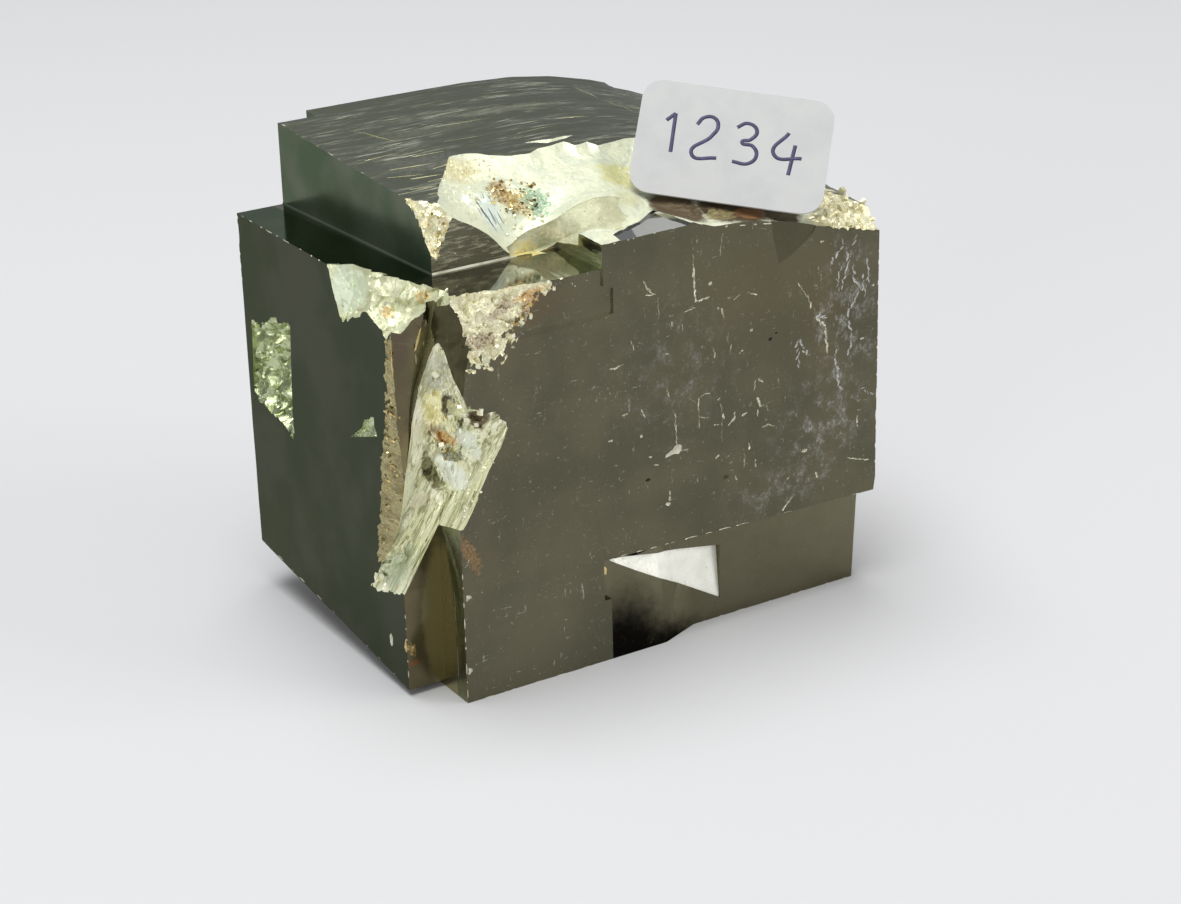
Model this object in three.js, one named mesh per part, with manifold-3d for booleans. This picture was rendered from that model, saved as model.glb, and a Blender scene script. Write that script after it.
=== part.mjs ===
// A hand specimen of pyrite: several cubes grown into each other, with broken places, and a
// small paper label on the broken top edge. Millimetres, +Z up.
//
// The shapes are worked out in the crystal's own axes: X runs right along the front face, Y runs
// into the depth, and the front face's lower left corner is at 0, 0, 0. The whole is then moved
// so that the middle of the part's base is at the origin.
import * as THREE from "three";
import { mergeVertices } from "three/addons/utils/BufferGeometryUtils.js";
import Module from "manifold-3d";

const wasm = await Module();
wasm.setup();

// Driving dimensions of the intergrown cubes
const MAIN_WIDTH = 49.9; // the front face, left to right
const MAIN_DEPTH = 37.4; // front face to back
const LEDGE_HEIGHT = 41.57; // the mirror-like ledge at the left, also the slab's top
const UNDERCUT_LEFT = 11.2; // underside of the main cube over the setback
const UNDERCUT_RIGHT = 10.5;
const FRONT_FOOT_WIDTH = 16.9; // the part of the front face that reaches the base
const FRONT_FOOT_NECK = 16.1; // its width above the little step
const FRONT_FOOT_STEP = 6.7; // height of that step
const SLAB_LEFT = -4.11; // left face of the slab
const SLAB_FRONT = 4.66; // its front face, behind the main cube's front face
const SLAB_FRONT_TOP = 2.9; // the inner corner comes forward towards the top
const SLAB_FOOT_FRONT = 0.7; // its lower edge rises to the back
const SLAB_FOOT_BACK = 4.8;
const RISER_LEFT = 16.6; // where the front face steps up from the ledge
const UPPER_FRONT = 8.3; // front wall of the upper block, over the ledge
const UPPER_LEFT_FRONT = 2.62; // its left wall is turned by two degrees
const UPPER_LEFT_BACK = 1.23;
const SETBACK = 2.0; // lower block's face behind the main front face
const LOWER_RIGHT = 49.4;
const RECESS_RIGHT = 31.3; // right wall of the bright shallow recess

// The striated top: slightly tilted forward, and bent down to the right
const TOP_AT_BACK = 50.3;
const TOP_TILT = 0.085;
const TOP_BEND = 0.009;
const TOP_BEND_FROM = 24;
const topHeight = (x, y) =>
  TOP_AT_BACK - TOP_TILT * (MAIN_DEPTH - y) - TOP_BEND * Math.max(0, x - TOP_BEND_FROM) ** 2;
const onTop = (x, y) => [x, y, topHeight(x, y)];

// The paper label: its middle, the direction that it faces and the direction of its long edge
const LABEL = { width: 19.4, height: 12.9, corner: 2.2, thickness: 0.22 };
const LABEL_MIDDLE = new THREE.Vector3(36.37, 6.73, 48.62);
const LABEL_FACES = new THREE.Vector3(-0.367, -0.603, 0.708).normalize();
const LABEL_ALONG = new THREE.Vector3(0.772, -0.623, -0.129);

// The part's box in the crystal's axes, whose middle goes to the origin
const BOX_X = [SLAB_LEFT, MAIN_WIDTH];
const BOX_Y = [-1.945, 39.4];

// A closed geometry as a solid that can be joined and cut
function solidOf(geometry) {
  const bare = geometry.clone();
  bare.deleteAttribute("normal");
  bare.deleteAttribute("uv");
  const merged = mergeVertices(bare, 1e-5);
  const vertProperties = new Float32Array(merged.attributes.position.array);
  const triVerts = new Uint32Array(merged.index.array);
  return new wasm.Manifold(new wasm.Mesh({ numProp: 3, vertProperties, triVerts }));
}

// Point between the points of a polyline, t from 0 to 1
function along(line, t) {
  const place = t * (line.length - 1);
  const index = Math.min(Math.floor(place), line.length - 2);
  const part = place - index;
  return line[index].map((value, axis) => value + (line[index + 1][axis] - value) * part);
}

// A box whose lower side follows a net of points and whose upper side is that net, moved by lift
function liftedNet(rows, lift) {
  const across = rows[0].length - 1;
  const down = rows.length - 1;
  const geometry = new THREE.BoxGeometry(1, 1, 1, across, down, 1);
  const place = geometry.attributes.position;
  for (let i = 0; i < place.count; i++) {
    const u = place.getX(i) + 0.5;
    const v = 0.5 - place.getY(i);
    const point = along(rows.map((row) => along(row, u)), v);
    const raised = place.getZ(i) > 0 ? 1 : 0;
    place.setXYZ(i, ...point.map((value, axis) => value + raised * lift[axis]));
  }
  const solid = solidOf(geometry);
  return solid.volume() > 0 ? solid : solidOf(turnedInsideOut(geometry));
}

function turnedInsideOut(geometry) {
  const index = geometry.index;
  for (let i = 0; i < index.count; i += 3) {
    const first = index.getX(i);
    index.setX(i, index.getX(i + 1));
    index.setX(i + 1, first);
  }
  return geometry;
}

// A block between two levels: four corners below and four above, in the order front left,
// front right, back right, back left
function hewnBlock(lower, upper) {
  const geometry = new THREE.BoxGeometry(1, 1, 1);
  const place = geometry.attributes.position;
  for (let i = 0; i < place.count; i++) {
    const corners = place.getZ(i) > 0 ? upper : lower;
    const front = place.getY(i) < 0;
    const left = place.getX(i) < 0;
    const corner = corners[front ? (left ? 0 : 1) : left ? 3 : 2];
    place.setXYZ(i, ...corner);
  }
  return solidOf(geometry);
}

function block(x, y, z) {
  const level = (height) => [
    [x[0], y[0], height], [x[1], y[0], height], [x[1], y[1], height], [x[0], y[1], height],
  ];
  return hewnBlock(level(z[0]), level(z[1]));
}

// Main cube: front face at y 0, its underside a little lower at the right
function mainCube() {
  const under = (y) => [[0, y, UNDERCUT_LEFT + 0.2], [MAIN_WIDTH, y, UNDERCUT_RIGHT]];
  const [frontLeft, frontRight] = under(0);
  const [backLeft, backRight] = under(MAIN_DEPTH);
  return hewnBlock(
    [frontLeft, frontRight, backRight, backLeft],
    [[0, 0, LEDGE_HEIGHT], [MAIN_WIDTH, 0, LEDGE_HEIGHT],
      [MAIN_WIDTH, MAIN_DEPTH, LEDGE_HEIGHT], [0, MAIN_DEPTH, LEDGE_HEIGHT]],
  );
}

// The foot under the left of the front face, with its little step
function frontFoot() {
  return block([0, FRONT_FOOT_NECK], [0, 20], [0, UNDERCUT_LEFT + 1])
    .add(block([3, FRONT_FOOT_WIDTH], [0, 20], [0, FRONT_FOOT_STEP]));
}

// Slab at the left: its foot rises to the back
function leftSlab() {
  const inside = 1;
  return hewnBlock(
    [[SLAB_LEFT, SLAB_FRONT, SLAB_FOOT_FRONT], [inside, SLAB_FRONT, SLAB_FOOT_FRONT],
      [inside, MAIN_DEPTH, SLAB_FOOT_BACK], [SLAB_LEFT, MAIN_DEPTH, SLAB_FOOT_BACK]],
    [[SLAB_LEFT, SLAB_FRONT, LEDGE_HEIGHT], [inside, SLAB_FRONT_TOP, LEDGE_HEIGHT],
      [inside, MAIN_DEPTH, LEDGE_HEIGHT], [SLAB_LEFT, MAIN_DEPTH, LEDGE_HEIGHT]],
  );
}

// Block under the main cube, set back, that comes forward to its lower left
function lowerBlock() {
  const top = UNDERCUT_LEFT + 1;
  const back = MAIN_DEPTH - 2.6;
  const forward = 0.15;
  const column = (x0, y0, x1, y1, topLeft, topRight) => hewnBlock(
    [[x0, y0, 0], [x1, y1, 0], [x1, back, 0], [x0, back, 0]],
    [[x0, topLeft, top], [x1, topRight, top], [x1, back, top], [x0, back, top]],
  );
  const body = column(2, forward + 1, 17, forward, SETBACK, SETBACK)
    .add(column(16.8, forward, 23.4, forward, SETBACK, SETBACK))
    .add(column(23.4, forward, 28, SETBACK, SETBACK, SETBACK))
    .add(column(28, SETBACK, 48.4, SETBACK, SETBACK, SETBACK))
    .add(column(48.4, SETBACK, LOWER_RIGHT, SETBACK + 1.2, SETBACK, SETBACK + 0.4));
  return body.subtract(brightRecess());
}

// Shallow three-cornered recess under the overhang, with a steep bright floor
function brightRecess() {
  return liftedNet([
    [[17.7, 1.8, 10.1], [20.9, 1.52, 8.2], [23.4, 1.32, 6.8], [24.3, 1.6, 6.3], [25.2, 1.9, 5.75],
      [26.0, 2.15, 5.3], [RECESS_RIGHT, 2.15, 2.2]],
    [[17.7, 2.0, 10.4], [20.9, 2.1, 9.9], [23.4, 2.2, 9.5], [24.3, 2.35, 9.3], [25.2, 2.45, 9.2],
      [26.0, 2.55, 9.1], [RECESS_RIGHT, 2.75, 8.2]],
  ], [0, -3, 0]);
}

// Everything over the ledge, before its top and its broken front are cut
function upperBlock() {
  const low = LEDGE_HEIGHT - 1;
  const high = 54;
  const body = hewnBlock(
    [[UPPER_LEFT_FRONT, UPPER_FRONT, low], [MAIN_WIDTH, UPPER_FRONT, low],
      [MAIN_WIDTH, MAIN_DEPTH, low], [UPPER_LEFT_BACK, MAIN_DEPTH, low]],
    [[UPPER_LEFT_FRONT, UPPER_FRONT, high], [MAIN_WIDTH, UPPER_FRONT, high],
      [MAIN_WIDTH, MAIN_DEPTH, high], [UPPER_LEFT_BACK, MAIN_DEPTH, high]],
  );
  const riser = block([RISER_LEFT, MAIN_WIDTH], [0, UPPER_FRONT + 1], [low, high]);
  return body.add(riser);
}

// Cubes that show only from behind and from the right
function backCubes() {
  const high = 54;
  return block([5.5, 42], [MAIN_DEPTH - 2, 39.4], [13.5, high])
    .add(block([28, 41], [MAIN_DEPTH - 2, 38.6], [22, 40.5]))
    .add(block([-1.5, 11], [MAIN_DEPTH - 3, 38.7], [7.5, 24]));
}

// What is taken off the top: everything over the striated top face
function aboveTop() {
  const stations = [-2, 8, 16, TOP_BEND_FROM, 30, 35, 40, 44, 48, 52];
  const row = (y) => stations.map((x) => onTop(x, y));
  return liftedNet([row(41), row(-3)], [0, 0, 20]);
}

// Stations across the broken front of the top, left to right: the rim on the top face, the
// hollow's floor, the ridge in front of it, the back of the narrow shelf, and the lip over the
// front face
const TOP_BREAK = [
  { rim: [12.6, 21.8], bowl: [4.5, 10.5, 48.0], ridge: [5.0, 6.0, 46.3],
    shelf: [5, 2, 46.3], lip: [5, 46.3] },
  { rim: [13.6, 21.0], bowl: [8.7, 12.5, 46.9], ridge: [9.0, 8.1, 44.2],
    shelf: [9.2, 2, 44.4], lip: [9.2, 44.4] },
  { rim: [14.8, 19.7], bowl: [11.7, 12.2, 46.7], ridge: [11.7, 8.2, 41.7],
    shelf: [11.6, 2, 43], lip: [11.6, 43] },
  { rim: [16.7, 18.0], bowl: [15.4, 12.2, 46.1], ridge: [13.9, 8.3, 43.0],
    shelf: [13.8, 2, 43.8], lip: [13.8, 44.1] },
  { rim: [18.8, 17.2], bowl: [18.4, 12.5, 46.3], ridge: [16.1, 8.4, 44.1],
    shelf: [16.2, 2, 44.1], lip: [16.2, 44.1] },
  { rim: [22.7, 18.9], bowl: [21.3, 12.5, 46.6], ridge: [19.1, 7.8, 45.7],
    shelf: [17.0, 0.7, 44.1], lip: [17, 44.1] },
  { rim: [26.5, 20.0], bowl: [24.4, 12.5, 46.8], ridge: [21.7, 7.6, 46.0],
    shelf: [20.2, 2.7, 44.2], lip: [20.2, 44.25] },
  { rim: [27.6, 17.6], bowl: [27.3, 13.0, 46.2], ridge: [24.4, 7.6, 45.3],
    shelf: [23.5, 4.8, 44.3], lip: [23.8, 44.4] },
  { rim: [31.9, 17.7], bowl: [29.4, 11.6, 46.2], ridge: [27.2, 7.9, 44.4],
    shelf: [26.2, 6.0, 44.2], lip: [27.5, 44.4] },
  { rim: [32.2, 11.2], bowl: [30.8, 8.8, 45.9], ridge: [29.8, 6.4, 44.3],
    shelf: [29.6, 2.4, 43.6], lip: [29.8, 43.3] },
  { rim: [36.2, 6.6], bowl: [34.8, 5.2, 44.7], ridge: [34.0, 3.4, 43.6],
    shelf: [34.0, 1.2, 43.1], lip: [34.2, 43.0] },
  { rim: [40.4, 4.4], bowl: [39.6, 3.2, 43.5], ridge: [39.0, 1.8, 42.6],
    shelf: [38.8, 0.6, 42.1], lip: [38.8, 41.9] },
  { rim: [44.6, 5.2], bowl: [44.5, 3.6, 42.8], ridge: [44.2, 2.0, 41.7],
    shelf: [44.0, 0.5, 40.6], lip: [43.8, 40.5] },
  { rim: [48.0, 6.4], bowl: [48.0, 4.4, 42.5], ridge: [48.0, 2.4, 41.6],
    shelf: [48.0, 0.6, 39.6], lip: [48, 39.2] },
  { rim: [51.5, 7.5], bowl: [51.5, 5.0, 41.9], ridge: [51.5, 2.4, 41.6],
    shelf: [51.5, 0.5, 38.8], lip: [51.5, 38.2] },
];

const midway = (a, b, sag) => a.map((value, axis) => (value + b[axis]) / 2 - sag[axis]);

function topBreak() {
  const outside = -2.5;
  const rim = TOP_BREAK.map((s) => onTop(...s.rim));
  const bowl = TOP_BREAK.map((s) => s.bowl);
  const ridge = TOP_BREAK.map((s) => s.ridge);
  const shelf = TOP_BREAK.map((s) => s.shelf);
  const lip = TOP_BREAK.map((s) => [s.lip[0], outside, s.lip[1]]);
  const between = (a, b, sag) => a.map((point, i) => midway(point, b[i], sag));
  return liftedNet([
    rim, between(rim, bowl, [0, 0, 0.3]), bowl, between(bowl, ridge, [0, 0, 0.2]),
    ridge, between(ridge, shelf, [0, 0, 0.15]), shelf, lip,
  ], [0, 0, 20]);
}

// The big break at the front left corner: a flat striated side, from the front face round to the
// slab, and a rough hollow over it
function cornerScar() {
  return liftedNet([
    [[5.6, -0.3, 27.2], [2.7, -0.3, 22.9], [0.3, -0.3, 19.0], [0, 4.4, 17.5],
      [-2, 4.6, 14.1], [-4.3, 4.6, 10.6], [-4.3, 8, 10.0], [-4.3, 11.4, 9.3]],
    [[5.6, 0.2, 28.0], [4.1, 1.9, 25.0], [2.4, 3.8, 21.6], [1.2, 5.6, 19.3],
      [0, 6.5, 17.2], [-1.6, 7.2, 14.4], [-3.1, 8.9, 11.6], [-4.3, 11.3, 9.7]],
    [[5.4, 0.1, 28.9], [2.9, 1.6, 28.6], [1.7, 3.1, 29.0], [0.9, 4.7, 27.2],
      [-0.4, 6.0, 24.4], [-2.2, 6.4, 20.0], [-3.4, 7.6, 15.2], [-4.3, 10.4, 11.4]],
    [[5.2, -0.3, 29.7], [1.1, -0.3, 31.6], [0.9, -0.3, 34.0], [0.1, 3.0, 36.7],
      [-1.9, 4.2, 32.0], [-2.0, 4.4, 26.0], [-4.3, 4.6, 20.2], [-4.3, 8.0, 13.8]],
  ], [-8, -9, 1.5]);
}

// Rough break along the front face's upper left edge
function edgeBreak() {
  return liftedNet([
    [[-1, -0.2, 34.5], [1.2, -0.15, 33.6], [3.8, -0.15, 33.0], [5.6, -0.15, 34.6],
      [8.3, -0.15, 37.2], [10, -0.2, 39.2], [14, -0.4, 41.0]],
    [[-1, 1.0, 38.0], [1.2, 0.8, 37.6], [3.8, 0.7, 37.4], [5.8, 0.6, 38.0],
      [8.4, 0.5, 39.3], [10.5, 0.2, 40.4], [14, -0.2, 41.6]],
    [[-1, 3.5, 42.2], [1.4, 2.0, 41.9], [4.0, 1.4, 41.9], [6.0, 1.1, 41.9],
      [8.9, 0.8, 41.9], [11, 0.4, 41.9], [14, -0.1, 42.1]],
  ], [0, -6, 5]);
}

// Broken upper front corner of the slab
function slabCornerBreak() {
  return liftedNet([
    [[-4.3, 17.0, 41.3], [-4.3, 14.5, 35.8], [-4.3, 8.7, 39.0], [-4.3, 5.6, 37.2],
      [-2.6, 3.9, 38.4], [-0.6, 3.2, 40.2], [0.9, 1.0, 40.9]],
    [[-4.1, 17.1, 41.5], [-2.6, 14.6, 38.7], [-2.5, 10.6, 39.9], [-2.0, 7.6, 39.3],
      [-1.0, 6.0, 39.9], [0.1, 4.9, 40.7], [1.2, 2.3, 41.2]],
    [[-3.9, 17.2, 41.8], [-1.8, 15.9, 41.8], [-1.3, 12.4, 41.8], [-0.4, 9.6, 41.8],
      [0.2, 7.8, 41.8], [0.7, 6.3, 41.8], [1.6, 3.5, 41.8]],
  ], [-4, -3, 7]);
}

// Granular strip down the slab's front edge
function slabEdgeBreak() {
  return liftedNet([
    [[-4.3, 6.8, 38.4], [-4.3, 7.0, 31.0], [-4.3, 7.4, 23.0], [-4.3, 8.2, 13.0]],
    [[-3.4, 5.4, 38.6], [-3.6, 5.6, 31.0], [-3.8, 5.9, 23.0], [-4.0, 6.4, 13.0]],
    [[-2.9, 4.0, 38.8], [-3.2, 4.2, 31.0], [-3.6, 4.3, 23.0], [-4.0, 4.5, 13.0]],
  ], [-4, -4, 0]);
}

// Deep pocket with crumpled walls in the slab's left face
function slabPocket() {
  const front = (x, z) => [x, 26.4 + (33 - z) * 0.09, z];
  return liftedNet([
    [front(-4.3, 33.0), [-4.3, 30.0, 32.4], [-4.3, 33.0, 31.4], [-4.3, 35.8, 30.4]],
    [front(-2.4, 31.5), [-2.1, 30.0, 30.5], [-2.5, 33.0, 29.5], [-3.7, 35.9, 28.5]],
    [front(-2.6, 28.6), [-1.6, 30.2, 28.0], [-2.8, 33.1, 27.4], [-3.4, 36.0, 26.8]],
    [front(-2.0, 26.0), [-2.4, 30.0, 25.6], [-1.9, 33.2, 25.0], [-3.6, 36.2, 24.8]],
    [front(-2.3, 22.9), [-2.2, 30.2, 22.4], [-2.9, 33.4, 21.9], [-3.9, 36.4, 22.2]],
    [front(-4.3, 19.8), [-4.3, 30.5, 20.5], [-4.3, 33.8, 21.1], [-4.3, 36.8, 21.6]],
  ], [-4, 0, 0]);
}

// Small three-cornered pit near the slab's front edge
function slabPit() {
  return liftedNet([
    [[-4.3, 10.7, 28.0], [-4.3, 9.0, 28.9]],
    [[-3.6, 11.6, 26.4], [-3.6, 9.0, 27.4]],
    [[-4.0, 14.3, 24.5], [-4.0, 8.4, 26.5]],
  ], [-3, 0, 0]);
}

// Broken upper front edge of the upper block, at the left
function upperEdgeBreak() {
  return liftedNet([
    [[2.2, 13.6, 48.5], [2.3, 11.0, 47.0], [2.4, 9.3, 44.8], [2.4, 8.5, 43.6], [2.4, 7.9, 42.2]],
    [[3.1, 12.0, 48.0], [3.6, 9.8, 46.8], [3.9, 8.7, 45.0], [3.3, 8.4, 43.7], [3.0, 8.1, 42.3]],
    [[4.0, 13.2, 48.7], [4.8, 10.5, 48.6], [5.6, 7.8, 47.2], [4.1, 7.9, 44.6], [3.6, 7.8, 42.3]],
  ], [-4, -5, 4]);
}

// Small breaks at the right, and steps and a scar that show only from the right or from behind
function hiddenSideBreaks() {
  const beyond = MAIN_WIDTH + 2;
  const lowerRightChip = hewnBlock(
    [[49.4, -1, 9.5], [beyond, -1, 9.5], [beyond, 3, 9.5], [49.8, 3, 9.5]],
    [[49.9, -1, 12.6], [beyond, -1, 12.6], [beyond, 3, 12.6], [50.3, 3, 12.6]],
  );
  const rightStep = block([48.7, beyond], [13.5, 45], [26, 60]);
  const lowerRightStep = block([47.2, beyond], [24.5, 45], [-1, 17.5]);
  const backCorner = block([41.5, beyond], [35.2, 45], [-1, 31]);
  const rightScar = liftedNet([
    [[50.2, 5.0, 30.5], [50.2, 8.5, 33.0], [48.6, 14.0, 33.5], [48.4, 19.5, 31.0]],
    [[50.1, 6.0, 26.5], [48.6, 9.0, 27.2], [47.0, 14.0, 28.0], [48.0, 19.0, 27.5]],
    [[50.1, 8.0, 22.5], [49.0, 11.0, 21.8], [48.3, 14.0, 22.0], [50.2, 18.0, 23.5]],
  ], [6, 0, 0]);
  const backScar = liftedNet([
    [[31.0, 38.7, 44.5], [36.0, 37.6, 47.0], [41.5, 37.6, 46.0], [47.0, 37.6, 43.5]],
    [[31.4, 38.0, 40.5], [36.0, 35.6, 42.0], [41.5, 35.0, 41.0], [46.5, 36.2, 38.5]],
    [[33.0, 38.8, 36.5], [37.0, 38.0, 35.5], [41.0, 37.6, 34.5], [45.0, 37.6, 33.5]],
  ], [0, 6, 0]);
  return [lowerRightChip, rightStep, lowerRightStep, backCorner, rightScar, backScar];
}

function pyriteSolid() {
  const grown = [frontFoot(), leftSlab(), lowerBlock(), upperBlock(), backCubes()]
    .reduce((whole, piece) => whole.add(piece), mainCube());
  const cuts = [
    aboveTop(), topBreak(), cornerScar(), edgeBreak(), slabCornerBreak(), slabEdgeBreak(),
    slabPocket(), slabPit(), upperEdgeBreak(), ...hiddenSideBreaks(),
  ];
  return cuts.reduce((whole, cut) => whole.subtract(cut), grown);
}

function geometryOf(solid) {
  const mesh = solid.getMesh();
  const geometry = new THREE.BufferGeometry();
  geometry.setAttribute("position", new THREE.BufferAttribute(mesh.vertProperties, 3));
  geometry.setIndex(new THREE.BufferAttribute(mesh.triVerts, 1));
  geometry.computeVertexNormals();
  return geometry;
}

// The label: a thin sheet with round corners
function labelGeometry() {
  const { width, height, corner, thickness } = LABEL;
  const right = width / 2 - corner;
  const top = height / 2 - corner;
  const outline = new THREE.Shape();
  outline.absarc(right, top, corner, 0, Math.PI / 2);
  outline.absarc(-right, top, corner, Math.PI / 2, Math.PI);
  outline.absarc(-right, -top, corner, Math.PI, 1.5 * Math.PI);
  outline.absarc(right, -top, corner, 1.5 * Math.PI, 2 * Math.PI);
  return new THREE.ExtrudeGeometry(outline, { depth: thickness, bevelEnabled: false, curveSegments: 6 });
}

const group = new THREE.Group();
group.position.set(-(BOX_X[0] + BOX_X[1]) / 2, -(BOX_Y[0] + BOX_Y[1]) / 2, 0);

const pyrite = new THREE.Mesh(
  geometryOf(pyriteSolid()),
  new THREE.MeshStandardMaterial({ color: 0x8f8b73, roughness: 0.3, metalness: 0.9 }),
);
pyrite.name = "pyrite";
group.add(pyrite);

const label = new THREE.Mesh(
  labelGeometry(),
  new THREE.MeshStandardMaterial({ color: 0xd9dad6, roughness: 0.7, metalness: 0 }),
);
label.name = "label";
const labelUp = new THREE.Vector3().crossVectors(LABEL_FACES, LABEL_ALONG).normalize();
const labelRight = new THREE.Vector3().crossVectors(labelUp, LABEL_FACES);
const turn = new THREE.Matrix4().makeBasis(labelRight, labelUp, LABEL_FACES);
label.quaternion.setFromRotationMatrix(turn);
label.position.copy(LABEL_MIDDLE);
group.add(label);

export default group;
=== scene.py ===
"""The looks of a hand specimen of pyrite: intergrown cubes, their breaks, and a small paper label."""

import logging
import random
from collections.abc import Callable, Sequence
from dataclasses import dataclass, field, replace
from enum import Enum
from functools import cache
from math import pi, radians

import bmesh
import bpy
from bmesh.types import BMesh, BMFace, BMVert
from bpy.types import Material, Mesh, Object
from mathutils import Matrix, Vector, noise


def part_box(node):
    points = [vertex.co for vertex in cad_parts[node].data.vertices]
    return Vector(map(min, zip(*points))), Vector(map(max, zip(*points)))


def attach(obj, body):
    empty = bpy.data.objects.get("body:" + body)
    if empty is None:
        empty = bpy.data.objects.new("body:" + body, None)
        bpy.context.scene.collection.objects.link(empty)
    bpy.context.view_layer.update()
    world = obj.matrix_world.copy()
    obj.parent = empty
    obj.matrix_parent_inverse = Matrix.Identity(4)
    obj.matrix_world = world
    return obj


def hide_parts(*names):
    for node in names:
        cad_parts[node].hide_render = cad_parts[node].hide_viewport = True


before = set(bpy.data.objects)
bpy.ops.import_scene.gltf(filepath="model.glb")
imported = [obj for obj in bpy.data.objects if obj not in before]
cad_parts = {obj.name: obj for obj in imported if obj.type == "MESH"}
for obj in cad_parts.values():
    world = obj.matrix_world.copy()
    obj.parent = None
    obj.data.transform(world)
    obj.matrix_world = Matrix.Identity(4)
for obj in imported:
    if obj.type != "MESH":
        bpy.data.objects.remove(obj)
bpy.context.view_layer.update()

log = logging.getLogger("pyrite")

MM = 0.001
Point = tuple[float, float, float]
Colour = tuple[float, float, float]
Span = tuple[float, float]
Mark = tuple[float, float, float, float, float]
Dent = tuple[Vector, Vector, Matrix]
BODY = "root"


# Shader maths


class Signal:
    """A shader socket that takes part in sums and products of numbers."""

    def __init__(self, shader: "Shader", socket: bpy.types.NodeSocket) -> None:
        """Keep the socket and the shader that it belongs to."""
        self.shader = shader
        self.socket = socket

    def _math(self, operation: str, first: object, second: object) -> "Signal":
        """Add one Math node.

        Args:
            operation: The Math node's operation.
            first: Its first value or signal.
            second: Its second value or signal.

        Returns:
            The node's result.
        """
        return self.shader.node("ShaderNodeMath", {"operation": operation}, {0: first, 1: second})

    def __add__(self, other: object) -> "Signal":
        """Add a number or signal."""
        return self._math("ADD", self, other)

    __radd__ = __add__

    def __sub__(self, other: object) -> "Signal":
        """Take away a number or signal."""
        return self._math("SUBTRACT", self, other)

    def __rsub__(self, other: object) -> "Signal":
        """Take this away from a number."""
        return self._math("SUBTRACT", other, self)

    def __mul__(self, other: object) -> "Signal":
        """Multiply by a number or signal."""
        return self._math("MULTIPLY", self, other)

    __rmul__ = __mul__

    def larger(self, other: object) -> "Signal":
        """Take the larger of this and another value."""
        return self._math("MAXIMUM", self, other)

    def absolute(self) -> "Signal":
        """Drop the sign."""
        return self._math("ABSOLUTE", self, None)

    def step(self, low: float, high: float) -> "Signal":
        """Rise smoothly from 0 at low to 1 at high, where high may be the smaller of the two."""
        settings = {"interpolation_type": "SMOOTHSTEP", "clamp": True}
        return self.shader.node("ShaderNodeMapRange", settings, {0: self, 1: low, 2: high})


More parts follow.
